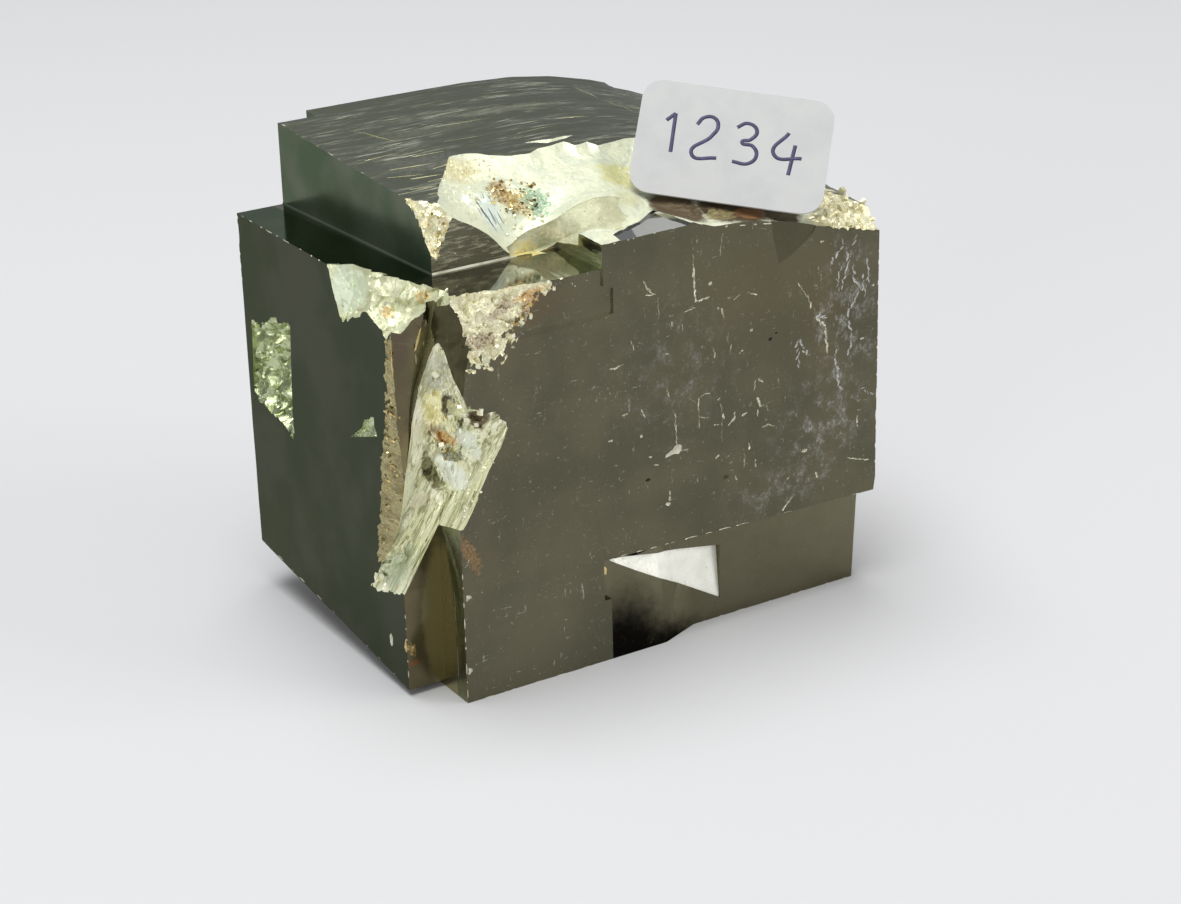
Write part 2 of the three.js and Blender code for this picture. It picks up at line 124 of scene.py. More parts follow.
class Shader:
    """One procedural material on a Principled shader, in the crystal's millimetres."""

    def __init__(self, name: str) -> None:
        """Start an empty material.

        Args:
            name: The material's name.
        """
        self.material = bpy.data.materials.new(name)
        self.material.use_nodes = True
        self.tree = self.material.node_tree
        self.tree.nodes.clear()

    def node(
        self, kind: str, settings: dict | None = None, inputs: dict | None = None, out: int | str = 0,
    ) -> Signal | None:
        """Add one node.

        Args:
            kind: The node's type.
            settings: Its settings, set first.
            inputs: Values or signals of its sockets, by number or name.
            out: The wanted output, by number or name.

        Returns:
            That output, or None where the node has none.
        """
        node = self.tree.nodes.new(kind)
        for name, value in (settings or {}).items():
            setattr(node, name, value)
        for key, value in (inputs or {}).items():
            if isinstance(value, Signal):
                self.tree.links.new(value.socket, node.inputs[key])
            elif value is not None:
                node.inputs[key].default_value = value
        return Signal(self, node.outputs[out]) if node.outputs else None

    def millimetres(self) -> Signal:
        """Give the surface's place in the crystal's own millimetres."""
        place, to_crystal = self.node("ShaderNodeTexCoord", out="Object"), crystal_to_frame().inverted()
        return self.node("ShaderNodeMapping", {}, {
            "Vector": place, "Location": to_crystal.translation, "Scale": (1 / MM,) * 3})

    def stretched(self, place: Signal, scale: Point, turn: Point = (0, 0, 0)) -> Signal:
        """Scale a place by different amounts along its axes, and turn it by degrees first.

        Args:
            place: The place.
            scale: The three scales.
            turn: The turn, in degrees.

        Returns:
            The changed place.
        """
        turned = place
        if any(turn):
            angles = tuple(radians(angle) for angle in turn)
            turned = self.node("ShaderNodeMapping", {}, {"Vector": place, "Rotation": angles})
        return self.node("ShaderNodeMapping", {}, {"Vector": turned, "Scale": scale})

    def noise(
        self, place: Signal, scale: float, detail: float = 3.0, rough: float = 0.55,
        stretch: Point | None = None, turn: Point = (0, 0, 0),
    ) -> Signal:
        """Give soft noise from 0 to 1, with so many lumps to a millimetre, in a stretched place."""
        changed = self.stretched(place, stretch, turn) if stretch else place
        return self.node("ShaderNodeTexNoise", {}, {
            "Vector": changed, "Scale": scale, "Detail": detail, "Roughness": rough}, "Fac")

    def cells(self, place: Signal, scale: float) -> Signal:
        """Give flat random cells from 0 to 1."""
        colour = self.node("ShaderNodeTexVoronoi", {}, {"Vector": place, "Scale": scale}, "Color")
        return self.node("ShaderNodeSeparateColor", {}, {0: colour})

    def mix(self, factor: Signal | float, first: Signal | Colour, second: Signal | Colour) -> Signal:
        """Mix two colours."""
        pair = [colour if isinstance(colour, Signal) else (*colour, 1) for colour in (first, second)]
        return self.node(
            "ShaderNodeMix", {"data_type": "RGBA"}, {"Factor": factor, 6: pair[0], 7: pair[1]}, 2)

    def patch(self, place: Signal, spot: "Spot") -> Signal:
        """Give 1 inside a spot with a ragged edge, and 0 away from it.

        Args:
            place: The surface's place.
            spot: The spot.

        Returns:
            The patch, from 0 to 1.
        """
        angles = tuple(radians(angle) for angle in spot.turn)
        moved = self.node("ShaderNodeVectorMath", {"operation": "SUBTRACT"}, {0: place, 1: spot.middle})
        turned = self.node("ShaderNodeMapping", {}, {"Vector": moved, "Rotation": angles})
        scaled = self.node("ShaderNodeMapping", {}, {
            "Vector": turned, "Scale": tuple(1 / radius for radius in spot.radii)})
        away = self.node("ShaderNodeVectorMath", {"operation": "LENGTH"}, {0: scaled}, "Value")
        ragged = away + (self.noise(place, spot.grain, 3.0) - 0.5) * spot.ragged
        inside = ragged.step(1.0, 1.0 - spot.soft) * spot.strength
        if not spot.mottle:
            return inside
        broken = self.noise(place, spot.grain * 2.2, 3.0, 0.7).step(0.56, 0.44)
        return inside * (1 - broken * spot.mottle)

    def bump(self, height: Signal, distance: float, strength: float = 1.0) -> Signal:
        """Turn a height into a bumped normal; the distance is in millimetres."""
        return self.node("ShaderNodeBump", {}, {
            "Height": height, "Distance": distance * MM, "Strength": strength})

    def finish(self, sockets: dict) -> Material:
        """Close the material with a Principled shader.

        Args:
            sockets: Values or signals of the shader's sockets by name.

        Returns:
            The material.
        """
        shader = self.node("ShaderNodeBsdfPrincipled", {}, sockets)
        self.node("ShaderNodeOutputMaterial", {}, {"Surface": shader})
        return self.material


# Finishes


@dataclass(frozen=True)
class Spot:
    """A patch of another colour on a surface, in the crystal's millimetres."""

    middle: Point
    radii: Point
    colour: Colour
    strength: float = 1.0
    soft: float = 0.5
    ragged: float = 0.8
    grain: float = 1.2
    mottle: float = 0.0
    turn: Point = (0, 0, 0)


@dataclass(frozen=True)
class Finish:
    """What every finish has: a name, and a material made from it."""

    name: str

    def material(self) -> Material:
        """Make the material; each finish has its own way."""
        raise NotImplementedError


@dataclass(frozen=True)
class CrystalFace(Finish):
    """A grown cube face: metallic and nearly a mirror, with clouds, dust and short flecks; its colour is
    painted dark, a painted reflection of dark surroundings.
    """

    # Dark base colour: painted shade standing in for the dark surroundings that these mirror-like faces
    # reflect.
    colour: Colour = (0.14, 0.13, 0.085)
    cloud: Colour = (0.11, 0.105, 0.07)
    cloud_scale: float = 0.12
    tint: Colour = (0.75, 0.75, 0.6)
    metallic: float = 1.0
    roughness: float = 0.24
    fleck: Colour = (0.55, 0.55, 0.5)
    fleck_from: float = 0.66
    fleck_strength: float = 0.25
    dust: float = 0.2
    haze: tuple[Spot, ...] = ()
    vein: Colour = (0.46, 0.455, 0.43)
    spots: tuple[Spot, ...] = ()
    grooves: Point = (0.12, 0.12, 1)
    groove_strength: float = 0.0
    bump: float = 0.004

    def material(self) -> Material:
        """Mix clouds, spots, grooves and pale flecks, and bump them slightly; the spots are stains, and in
        some finishes painted shade and painted light.

        Returns:
            The material.
        """
        shader = Shader(self.name)
        place = shader.millimetres()
        cloud = shader.noise(place, self.cloud_scale, 4).step(0.35, 0.65)
        fine = shader.noise(place, 2.2, 4, 0.7)
        colour = shader.mix(cloud, self.colour, self.cloud)
        for spot in self.spots:
            colour = shader.mix(shader.patch(place, spot), colour, spot.colour)
        upright = shader.noise(place, 2.4, 4, 0.75, (1, 1, 0.2))
        level = shader.noise(place, 2.4, 4, 0.75, (0.3, 0.3, 1.3))
        where = shader.noise(place, 0.3, 3, 0.6).step(0.45, 0.62)
        edge = self.fleck_from
        flecks = (upright.step(edge, edge + 0.08) + level.step(edge, edge + 0.08)) * where
        marks = (flecks * self.fleck_strength + fine.step(0.6, 0.72) * self.dust).step(0, 1)
        if self.groove_strength:
            grooves = shader.noise(place, 2, 5, 0.75, self.grooves)
            marks = marks.larger(grooves.step(0.5, 0.66) * self.groove_strength)
        colour = shader.mix(marks, colour, self.fleck)
        winding = shader.noise(place, 0.75, 4, 0.6, (1, 1, 0.55))
        second = shader.noise(place, 1.7, 3, 0.6, (1.3, 1, 0.8))
        veins = (winding - 0.5).absolute().step(0.028, 0).larger(
            (second - 0.5).absolute().step(0.02, 0) * 0.5)
        broken = shader.noise(place, 0.5, 4, 0.7)
        for spot in self.haze:
            hazy = shader.patch(place, spot) * broken.step(0.46, 0.64)
            cloudy = veins * 0.7 + fine.step(0.44, 0.66) * 0.3 + 0.12
            colour = shader.mix(hazy * cloudy, colour, self.vein)
        height = fine * 0.4 + upright
        return shader.finish({
            "Base Color": colour, "Metallic": self.metallic,
            "Roughness": self.roughness + marks * 0.25 + fine * 0.05,
            "Specular Tint": (*self.tint, 1), "Normal": shader.bump(height, self.bump),
        })


@dataclass(frozen=True)
class StriatedTop(Finish):
    """The top face: grey, with long fine streaks that catch the light one after another."""

    colour: Colour = (0.215, 0.23, 0.165)
    streak: Colour = (0.9, 0.9, 0.72)
    roughness: float = 0.32
    spots: tuple[Spot, ...] = ()

    def material(self) -> Material:
        """Lay streaks of three lengths along the face over a dark ground.

        Returns:
            The material.
        """
        shader = Shader(self.name)
        place = shader.millimetres()
        long = shader.noise(place, 1.3, 5, 0.8, (0.05, 1, 0.3), (0, 0, 4))
        fine = shader.noise(place, 1.6, 4, 0.75, (0.1, 3, 1), (0, 0, -3))
        broad = shader.noise(place, 0.3, 3, 0.6, (0.5, 1, 1))
        streaks = (long * 0.5 + fine * 0.5).step(0.5, 0.62) * broad.step(0.34, 0.6)
        dust = shader.noise(place, 3, 4, 0.7).step(0.64, 0.74)
        colour = shader.mix(streaks * 0.85 + dust * 0.3, self.colour, self.streak)
        for spot in self.spots:
            colour = shader.mix(shader.patch(place, spot), colour, spot.colour)
        return shader.finish({
            "Base Color": colour, "Metallic": 1, "Roughness": self.roughness + streaks * 0.15,
            "Normal": shader.bump(long + fine * 0.5, 0.03),
        })


@dataclass(frozen=True)
class BrokenPyrite(Finish):
    """A fresh break: pale brassy metal in small facets, with tarnish in places, and painted shade in some
    hollows and under the label.
    """

    colour: Colour
    second: Colour
    third: Colour
    roughness: float
    metallic: float
    scale: float = 1.0
    stretch: Point = (1, 1, 1)
    turn: Point = (0, 0, 0)
    contrast: float = 0.7
    streaks: float = 0.0
    spots: tuple[Spot, ...] = ()
    bump: float = 0.05

    def material(self) -> Material:
        """Mix three tints of the metal by cells and noise, then add the spots: tarnish, and in places painted
        shade.

        Returns:
            The material.
        """
        shader = Shader(self.name)
        place = shader.stretched(shader.millimetres(), self.stretch, self.turn)
        crystal = shader.millimetres()
        broad = shader.noise(place, 0.45 * self.scale, 3)
        grain = shader.noise(place, 3.0 * self.scale, 4, 0.7)
        cells = shader.cells(place, 2.2 * self.scale)
        colour = shader.mix(broad.step(0.4, 0.65), self.colour, self.second)
        colour = shader.mix(grain.step(0.52, 0.7) * cells * self.contrast, colour, self.third)
        if self.streaks:
            lined = shader.noise(place, 2.0 * self.scale, 3, 0.65).step(0.51, 0.57)
            colour = shader.mix(lined * self.streaks, colour, self.third)
        for spot in self.spots:
            colour = shader.mix(shader.patch(crystal, spot), colour, spot.colour)
        dark = grain.step(0.4, 0.28) * self.contrast
        colour = shader.mix(dark * 0.75, colour, (0.16, 0.15, 0.1))
        rough = self.roughness + (cells - 0.5) * 0.16
        return shader.finish({
            "Base Color": colour, "Metallic": self.metallic, "Roughness": rough,
            "Normal": shader.bump(grain + cells * 0.5, self.bump),
        })


@dataclass(frozen=True)
class Paper(Finish):
    """Matt off-white label paper, with a slight mottle and a few faint fibres."""

    colour: Colour = (0.475, 0.48, 0.47)
    shade: Colour = (0.435, 0.44, 0.445)

    def material(self) -> Material:
        """Mottle the paper and give it a fine tooth.

        Returns:
            The material.
        """
        shader = Shader(self.name)
        place = shader.millimetres()
        mottle = shader.noise(place, 0.25, 4)
        tooth = shader.noise(place, 9, 3, 0.7)
        colour = shader.mix(mottle.step(0.35, 0.7), self.colour, self.shade)
        fibres = shader.noise(place, 2, 4, 0.8, (0.5, 3, 0.5), (20, 30, 35))
        colour = shader.mix(fibres.step(0.68, 0.74) * 0.2, colour, (0.5, 0.5, 0.52))
        return shader.finish({
            "Base Color": colour, "Roughness": 0.55 + tooth * 0.1,
            "Normal": shader.bump(tooth + mottle * 2, 0.02),
        })


@dataclass(frozen=True)
class Ink(Finish):
    """Dark violet-blue pen ink that is thinner in places."""

    colour: Colour = (0.012, 0.01, 0.06)
    thin: Colour = (0.07, 0.06, 0.2)

    def material(self) -> Material:
        """Thin the ink by noise.

        Returns:
            The material.
        """
        shader = Shader(self.name)
        worn = shader.noise(shader.millimetres(), 1.6, 4, 0.7).step(0.5, 0.75)
        return shader.finish({"Base Color": shader.mix(worn, self.colour, self.thin), "Roughness": 0.5})


@dataclass(frozen=True)
class PaleFloor(Finish):
    """A plain pale floor."""

    colour: Colour = (0.6, 0.6, 0.61)

    def material(self) -> Material:
        """Make it matt."""
        shader = Shader(self.name)
        return shader.finish({"Base Color": (*self.colour, 1), "Roughness": 0.85})


# Shapes in the crystal's millimetres


def crystal_to_frame() -> Matrix:
    """Give the matrix from the crystal's millimetres to the frame's metres."""
    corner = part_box("pyrite")[0] - Vector((Cubes.slab_left, 0, 0)) * MM
    return Matrix.Translation(corner) @ Matrix.Scale(MM, 4)


@dataclass(frozen=True)
class Relief:
    """How rough a surface is: slow waves, flat chips and fine grain, each with its size and depth."""

    wave: float = 5.0
    wave_depth: float = 0.0
    chip: float = 1.0
    chip_depth: float = 0.0
    grain: float = 0.4
    grain_depth: float = 0.0
    stretch: Point = (1, 1, 1)
    turn: float = 0.0
    seed: float = 0.0
    patches: tuple["RoughPatch", ...] = ()

    def depth(self, point: Vector) -> float:
        """Give the depth in millimetres at a point of the surface.

        Args:
            point: The point.

        Returns:
            The depth.
        """
        turned = Matrix.Rotation(radians(self.turn), 3, "Y") @ point if self.turn else point
        place = Vector([value * scale for value, scale in zip(turned, self.stretch)])
        place += Vector((self.seed, self.seed * 1.7, self.seed * 0.6))
        depth = self.wave_depth * noise.noise(place / self.wave)
        if self.chip_depth:
            cell = place / self.chip
            centre = noise.voronoi(cell)[1][0]
            tilt = 2 * noise.cell_vector(centre * 3.1) - Vector((1, 1, 1))
            depth += self.chip_depth * (cell - centre).dot(tilt)
        if self.grain_depth:
            depth += self.grain_depth * noise.turbulence(place / self.grain, 2, False)
        return depth + sum(patch.depth(point) for patch in self.patches)


@dataclass(frozen=True)
class RoughPatch:
    """A round place of a surface that is rougher than the rest."""

    middle: Point
    radius: float
    relief: Relief
    sink: float = 0.0

    def depth(self, point: Vector) -> float:
        """Give the added depth, which fades towards the patch's edge.

        Args:
            point: The point.

        Returns:
            The depth.
        """
        away = (point - Vector(self.middle)).length / self.radius
        if away >= 1:
            return 0.0
        fade = (1 - away * away) ** 2
        return fade * (self.sink + self.relief.depth(point))


@dataclass(frozen=True)
class Line:
    """A line of points, straight between them or smooth through them."""

    points: tuple[Point, ...]
    places: tuple[float, ...] | None = None
    smooth: bool = False
    creases: frozenset[int] = frozenset()

    def at(self, t: float) -> Vector:
        """Follow the line.

        Args:
            t: How far along, from 0 to 1.

        Returns:
            The place there.
        """
        last = len(self.points) - 1
        places = self.places or tuple(index / last for index in range(last + 1))
        index = 0
        while index < last - 1 and t >= places[index + 1]:
            index += 1
        part = (t - places[index]) / (places[index + 1] - places[index])
        start, end = Vector(self.points[index]), Vector(self.points[index + 1])
        if not self.smooth:
            return start.lerp(end, part)
        first = index == 0 or index in self.creases
        final = index + 1 == last or index + 1 in self.creases
        before = 2 * start - end if first else Vector(self.points[index - 1])
        after = 2 * end - start if final else Vector(self.points[index + 2])
        return 0.5 * (2 * start + (end - before) * part
                      + (2 * before - 5 * start + 4 * end - after) * part ** 2
                      + (3 * start - before - 3 * end + after) * part ** 3)


@dataclass
class Net:
    """A rough surface over a net of lines, closed by lifting a copy of it: a cutter."""

    rows: list[Line]
    lift: Point
    finish: Finish
    across: int = 24
    down: int = 12
    relief: Callable[[Vector], float] | None = None
    places: tuple[float, ...] | None = None
    smooth: bool = False
    creases: frozenset[int] = frozenset()
    calm: float = 0.0
    columns: dict[int, Line] = field(default_factory=dict)

    def point(self, u: float, v: float) -> Vector:
        """Give a point of the rough surface.

        Args:
            u: How far across, from 0 to 1.
            v: How far down, from 0 to 1.

        Returns:
            The place there, in the crystal's millimetres.
        """
        column = round(u * self.across)
        if column not in self.columns:
            points = tuple(tuple(row.at(column / self.across)) for row in self.rows)
            self.columns[column] = Line(points, self.places, self.smooth, self.creases)
        middle = self.columns[column].at(v)
        depth = self.relief(middle) if self.relief else 0.0
        if self.calm:
            depth *= min(1.0, v / self.calm)
        return middle - Vector(self.lift).normalized() * depth

    def build(self) -> BMesh:
        """Shape a grid to the net, roughen it and close it.

        Returns:
            The cutter.
        """
        shape = bmesh.new()
        bmesh.ops.create_grid(shape, x_segments=self.across, y_segments=self.down, size=0.5)
        for vert in shape.verts:
            vert.co = self.point(vert.co.x + 0.5, 0.5 - vert.co.y)
        return thickened(shape, self.lift)


def outwards(shape: BMesh) -> BMesh:
    """Turn a closed shape's faces outwards, and give the shape back."""
    bmesh.ops.recalc_face_normals(shape, faces=shape.faces[:])
    return shape


def thickened(shape: BMesh, lift: Point) -> BMesh:
    """Close an open surface by a lifted copy of it.

    Args:
        shape: The open surface.
        lift: How far and which way the copy is lifted.

    Returns:
        The same shape, closed.
    """
    grown = bmesh.ops.extrude_face_region(shape, geom=shape.faces[:])
    moved = [part for part in grown["geom"] if isinstance(part, BMVert)]
    bmesh.ops.translate(shape, verts=moved, vec=lift)
    return outwards(shape)


def lines(rows: Sequence[Sequence[Point]], smooth: bool = False) -> list[Line]:
    """Make a net's lines from rows of points."""
    return [Line(tuple(row), smooth=smooth) for row in rows]


@dataclass
class Hewn:
    """A block between two levels, with four corners in each: front left, front right, back right,
    back left."""

    lower: list[Point]
    upper: list[Point]
    finish: Finish

    def build(self) -> BMesh:
        """Move a cube's corners to the given places.

        Returns:
            The block.
        """
        shape = bmesh.new()
        bmesh.ops.create_cube(shape, size=2)
        order = {(-1, -1): 0, (1, -1): 1, (1, 1): 2, (-1, 1): 3}
        for vert in shape.verts:
            corners = self.upper if vert.co.z > 0 else self.lower
            vert.co = Vector(corners[order[round(vert.co.x), round(vert.co.y)]])
        return outwards(shape)


def block(x: Sequence[float], y: Sequence[float], z: Sequence[float], finish: Finish) -> Hewn:
    """Make an upright block from its ranges along the axes."""
    plan = ((x[0], y[0]), (x[1], y[0]), (x[1], y[1]), (x[0], y[1]))
    return Hewn([(*corner, z[0]) for corner in plan], [(*corner, z[1]) for corner in plan], finish)


def along(start: Vector, end: Vector, width: float, depth: float) -> Dent:
    """Give a long dent from one point to another: its middle, half sizes and turn."""
    turn = (end - start).to_track_quat("X", "Z").to_matrix()
    return (start + end) / 2, Vector(((end - start).length / 2, depth, width)), turn


@dataclass
class Nicks:
    """Small four-sided dents, all in one cutter; each has a place, half sizes and a turn."""

    dents: list[Dent]
    finish: Finish

    def build(self) -> BMesh:
        """Join a small double pyramid for each dent.

        Returns:
            The cutter.
        """
        shape = bmesh.new()
        for middle, half, turn in self.dents:
            matrix = Matrix.Translation(middle) @ turn.to_4x4() @ Matrix.Diagonal((*half, 1.0))
            bmesh.ops.create_icosphere(shape, subdivisions=1, radius=1.0, matrix=matrix)
        return outwards(shape)


def alternate(dents: list[Dent], finish: Finish) -> list[Nicks]:
    """Share the dents out over two cutters, so that neighbours never lie in the same one."""
    return [Nicks(dents[0::2], finish), Nicks(dents[1::2], finish)]


@dataclass
class Crumbs:
    """Small angular grains that stand up from a part of a rough surface, none touching another."""

    net: Net
    across: Span
    down: Span
    count: int
    size: Span
    finish: Finish
    seed: int = 1
    flatness: float = 0.35

    def build(self) -> BMesh:
        """Turn each grain its own way and half bury it.

        Returns:
            The grains.
        """
        draw = random.Random(self.seed)
        placed: list[tuple[Vector, float]] = []
        shape = bmesh.new()
        for _ in range(self.count):
            middle = self.net.point(draw.uniform(*self.across), draw.uniform(*self.down))
            size = draw.uniform(*self.size)
            turns = [Matrix.Rotation(draw.uniform(0, pi), 4, axis) for axis in "XYZ"]
            sizes = (size, size * draw.uniform(self.flatness, 1), size * draw.uniform(self.flatness, 1))
            reach = 0.9 * size
            if any((middle - other).length < reach + taken for other, taken in placed):
                continue
            placed.append((middle, reach))
            turn = turns[0] @ turns[1] @ turns[2]
            matrix = Matrix.Translation(middle) @ turn @ Matrix.Diagonal((*sizes, 1))
            bmesh.ops.create_cube(shape, size=1.0, matrix=matrix)
        return outwards(shape)


@cache
def material_of(finish: Finish) -> Material:
    """Give a finish's material, made once."""
    return finish.material()


def in_scene(name: str, data: bpy.types.ID) -> Object:
    """Make an object in the scene.

    Args:
        name: The object's name.
        data: Its mesh, curve, camera or light.

    Returns:
        The object.
    """
    piece = bpy.data.objects.new(name, data)
    bpy.context.scene.collection.objects.link(piece)
    return piece


def object_of(name: str, shape: BMesh, finish: Finish) -> Object:
    """Make an object in the scene from a shape, with one finish.

    Args:
        name: The object's name.
        shape: The shape, which is freed.
        finish: The finish of all its faces.

    Returns:
        The object.
    """
    mesh = bpy.data.meshes.new(name)
    shape.to_mesh(mesh)
    shape.free()
    mesh.materials.append(material_of(finish))
    return in_scene(name, mesh)


class Join(Enum):
    """How a shape meets the ones before it."""

    ADD = "UNION"
    CUT = "DIFFERENCE"


def carved(first: Hewn, others: list[tuple[Join, object]]) -> Mesh:
    """Join and cut shapes in order.

    Args:
        first: The shape that the others are joined to or cut from.
        others: The shapes, each with how it meets the ones before it.

    Returns:
        The mesh, in millimetres, with each cut's own finish on its faces.
    """
    piece = object_of("stock", first.build(), first.finish)
    tools = []
    for join, shape in others:
        tool = object_of("tool", shape.build(), shape.finish)
        modifier = piece.modifiers.new("join", "BOOLEAN")
        modifier.operation = join.value
        modifier.solver = "MANIFOLD"
        modifier.material_mode = "TRANSFER"
        modifier.object = tool
        tools.append(tool)
    seen = piece.evaluated_get(bpy.context.evaluated_depsgraph_get())
    mesh = bpy.data.meshes.new_from_object(seen)
    for used in [piece, *tools]:
        left = used.data
        bpy.data.objects.remove(used)
        bpy.data.meshes.remove(left)
    return mesh


def without_loose_bits(mesh: Mesh) -> None:
    """Keep only the largest connected part: folded flaps, buried dents and chips in the air go.

    Args:
        mesh: The mesh, which is changed.
    """
    shape = bmesh.new()
    shape.from_mesh(mesh)
    bmesh.ops.triangulate(shape, faces=shape.faces[:])
    twins: dict[frozenset[BMVert], list[BMFace]] = {}
    for face in shape.faces:
        twins.setdefault(frozenset(face.verts), []).append(face)
    flaps = [face for faces in twins.values() if len(faces) > 1 for face in faces]
    bmesh.ops.delete(shape, geom=flaps, context="FACES")
    waiting = set(shape.faces)
    largest: set[BMFace] = set()
    while waiting:
        found = {waiting.pop()}
        growing = list(found)
        while growing:
            for edge in growing.pop().edges:
                fresh = [face for face in edge.link_faces if face not in found]
                found.update(fresh)
                growing += fresh
        waiting -= found
        if len(found) > len(largest):
            largest = found
    loose = [face for face in shape.faces if face not in largest]
    bmesh.ops.delete(shape, geom=loose, context="FACES")
    shape.to_mesh(mesh)
    shape.free()


# Finishes of this specimen

FACE = CrystalFace("cube_face", grooves=(0.04, 0.04, 2.2), groove_strength=0.1)
FRONT = CrystalFace(
    "front_face", fleck_from=0.6, fleck_strength=0.5, dust=0.4,
    haze=(
        Spot((45.8, 0, 30), (5.5, 3, 14), (1, 1, 1), 0.8, soft=1, grain=0.35),
        Spot((46.6, 0, 35), (2.4, 3, 7), (1, 1, 1), 1, 0.8, 1.2, 0.5, turn=(0, 8, 0)),
        Spot((42.2, 0, 30.6), (1.6, 3, 2.4), (1, 1, 1), 0.9, 0.8, 1.2, 0.6),
        Spot((42.5, 0, 19.5), (8.5, 3, 7.5), (1, 1, 1), 0.9, soft=1, grain=0.3),
        Spot((38, 0, 13.5), (9, 3, 3.5), (1, 1, 1), 0.8, soft=1, grain=0.3),
        Spot((25, 0, 29), (12, 3, 11), (1, 1, 1), 0.36, soft=1, grain=0.3),
    ),
    spots=(
        Spot((36, 0, 36), (16, 3, 12), (0.135, 0.118, 0.072), 0.6, soft=1, grain=0.25),
        Spot((43, 0, 32), (3, 3, 11), (0.15, 0.12, 0.065), 0.4, soft=0.9, ragged=1.2, grain=0.4),
        # Soft lighter patch low on the left: painted light that makes up for the shade near the floor.
        Spot((8, 0, 2), (12, 3, 14), (0.175, 0.165, 0.11), 0.8, soft=1, ragged=0),
        Spot((8.5, 0.2, 39.6), (5, 2, 2.6), (0.16, 0.11, 0.065), 0.7, ragged=1.4, mottle=0.6),
        Spot((1, 0.2, 15.8), (0.8, 2, 2.6), (0.34, 0.2, 0.09), 0.9, 0.3, 1.8, 2.6, 0.9, (0, 28, 0)),
        # Tiny near-black spots: painted shade of small pits, which are not cut.
        Spot((36.3, 0, 30.3), (0.3, 2, 0.22), (0.02, 0.02, 0.015), 1, 0.4, 1, 2),
        Spot((37, 0, 30.8), (0.2, 2, 0.12), (0.03, 0.03, 0.02), 1, 0.4, 1, 2),
        Spot((21.4, 0, 18.6), (0.35, 2, 0.2), (0.03, 0.03, 0.02), 1, 0.4, 1, 2),
        Spot((30.8, 0, 16.6), (0.5, 2, 0.3), (0.05, 0.05, 0.03), 0.8, 0.6, 1, 2),
    ),
)
# Darker and greener than the front face: painted shade for the darker surroundings this side mirrors.
LEFT = CrystalFace(
    "left_face", (0.086, 0.088, 0.074), (0.062, 0.072, 0.055), roughness=0.2,
    tint=(0.56, 0.58, 0.5), fleck=(0.3, 0.34, 0.26), fleck_strength=0.15, dust=0.1,
)
UPPER_WALL = CrystalFace(
    "upper_left_wall", (0.125, 0.145, 0.108), (0.07, 0.1, 0.062), roughness=0.2,
    tint=(0.6, 0.65, 0.5), metallic=0.75, fleck=(0.4, 0.44, 0.33), fleck_strength=0.3,
)
SLAB_TOP = CrystalFace(
    "slab_top", (0.21, 0.24, 0.18), (0.15, 0.18, 0.13), roughness=0.08,
    tint=(0.8, 0.88, 0.76), fleck=(0.5, 0.55, 0.45), fleck_strength=0.15, dust=0.12,
)
# Notch wall lighter than the other grown faces: painted light that makes up for the dark it mirrors.
NOTCH = CrystalFace(
    "notch_wall", (0.34, 0.315, 0.17), (0.25, 0.235, 0.125), fleck=(0.5, 0.4, 0.2),
    metallic=0.6, grooves=(1, 1, 0.08), groove_strength=0.08,
)
# Darker copy of the notch wall's finish for the facet beside it: painted shade.
CORNER = CrystalFace(
    "corner_facet", (0.1, 0.094, 0.05), (0.07, 0.062, 0.034), fleck=(0.5, 0.45, 0.3),
    tint=(0.4, 0.4, 0.3), metallic=0.85, roughness=0.3, grooves=(1, 1, 0.08), groove_strength=0.05,
)
SIDE_WALL = CrystalFace(
    "side_wall", (0.27, 0.275, 0.18), (0.17, 0.185, 0.115), cloud_scale=0.4, fleck=(0.75, 0.7, 0.5),
    spots=(
        Spot((0, 3.7, 5), (1.5, 1.8, 12), (0.38, 0.34, 0.205), 0.9, soft=0.15, ragged=0.15),
        Spot((0, 2.4, 15.6), (1.5, 0.5, 3.2), (0.5, 0.55, 0.4), 0.9, 0.4, 1.4, 1.4, 0.3, (32, 0, 0)),
        Spot((0, 1, 11.8), (1.5, 0.35, 2.6), (0.36, 0.4, 0.28), 0.8, 0.4, 1.4, 1.4, 0.3, (14, 0, 0)),
        Spot((0, 1.7, 12.6), (1.5, 0.8, 3.6), (0.08, 0.1, 0.06), 0.85, 0.5, 1.2, 1.2, 0.2, (18, 0, 0)),
        Spot((0, 0.7, 3.4), (1.5, 0.8, 5), (0.15, 0.14, 0.085), 0.8, 0.6, 1, 1.2, 0.2),
    ),
)
STEP_WALL = CrystalFace(
    "step_wall", (0.3, 0.32, 0.18), (0.2, 0.22, 0.12), roughness=0.15, metallic=0.7,
    fleck=(0.75, 0.75, 0.55), grooves=(1, 0.1, 1), groove_strength=0.3,
    spots=(
        # Near-black spot at the wall's top: painted shadow in the gap beside the shelf.
        Spot((16.6, 1.9, 43.5), (1, 2.1, 0.7), (0.012, 0.012, 0.01), 1, 0.25, 0.6, 1.2),
    ),
)
UPPER_FRONT = CrystalFace(
    "upper_front_wall", (0.13, 0.125, 0.085), (0.08, 0.075, 0.05),
    fleck=(0.7, 0.69, 0.5), metallic=0.3, grooves=(0.2, 1, 1.6), groove_strength=0.5, dust=0.6,
    spots=(
        Spot((14.6, 8.3, 42.4), (2.2, 2, 1.6), (0.8, 0.6, 0.24), soft=0.6, ragged=0.6),
        Spot((16.6, 8.3, 43.8), (1.3, 2, 1), (0.75, 0.72, 0.42), soft=0.6, ragged=0.6),
    ),
)
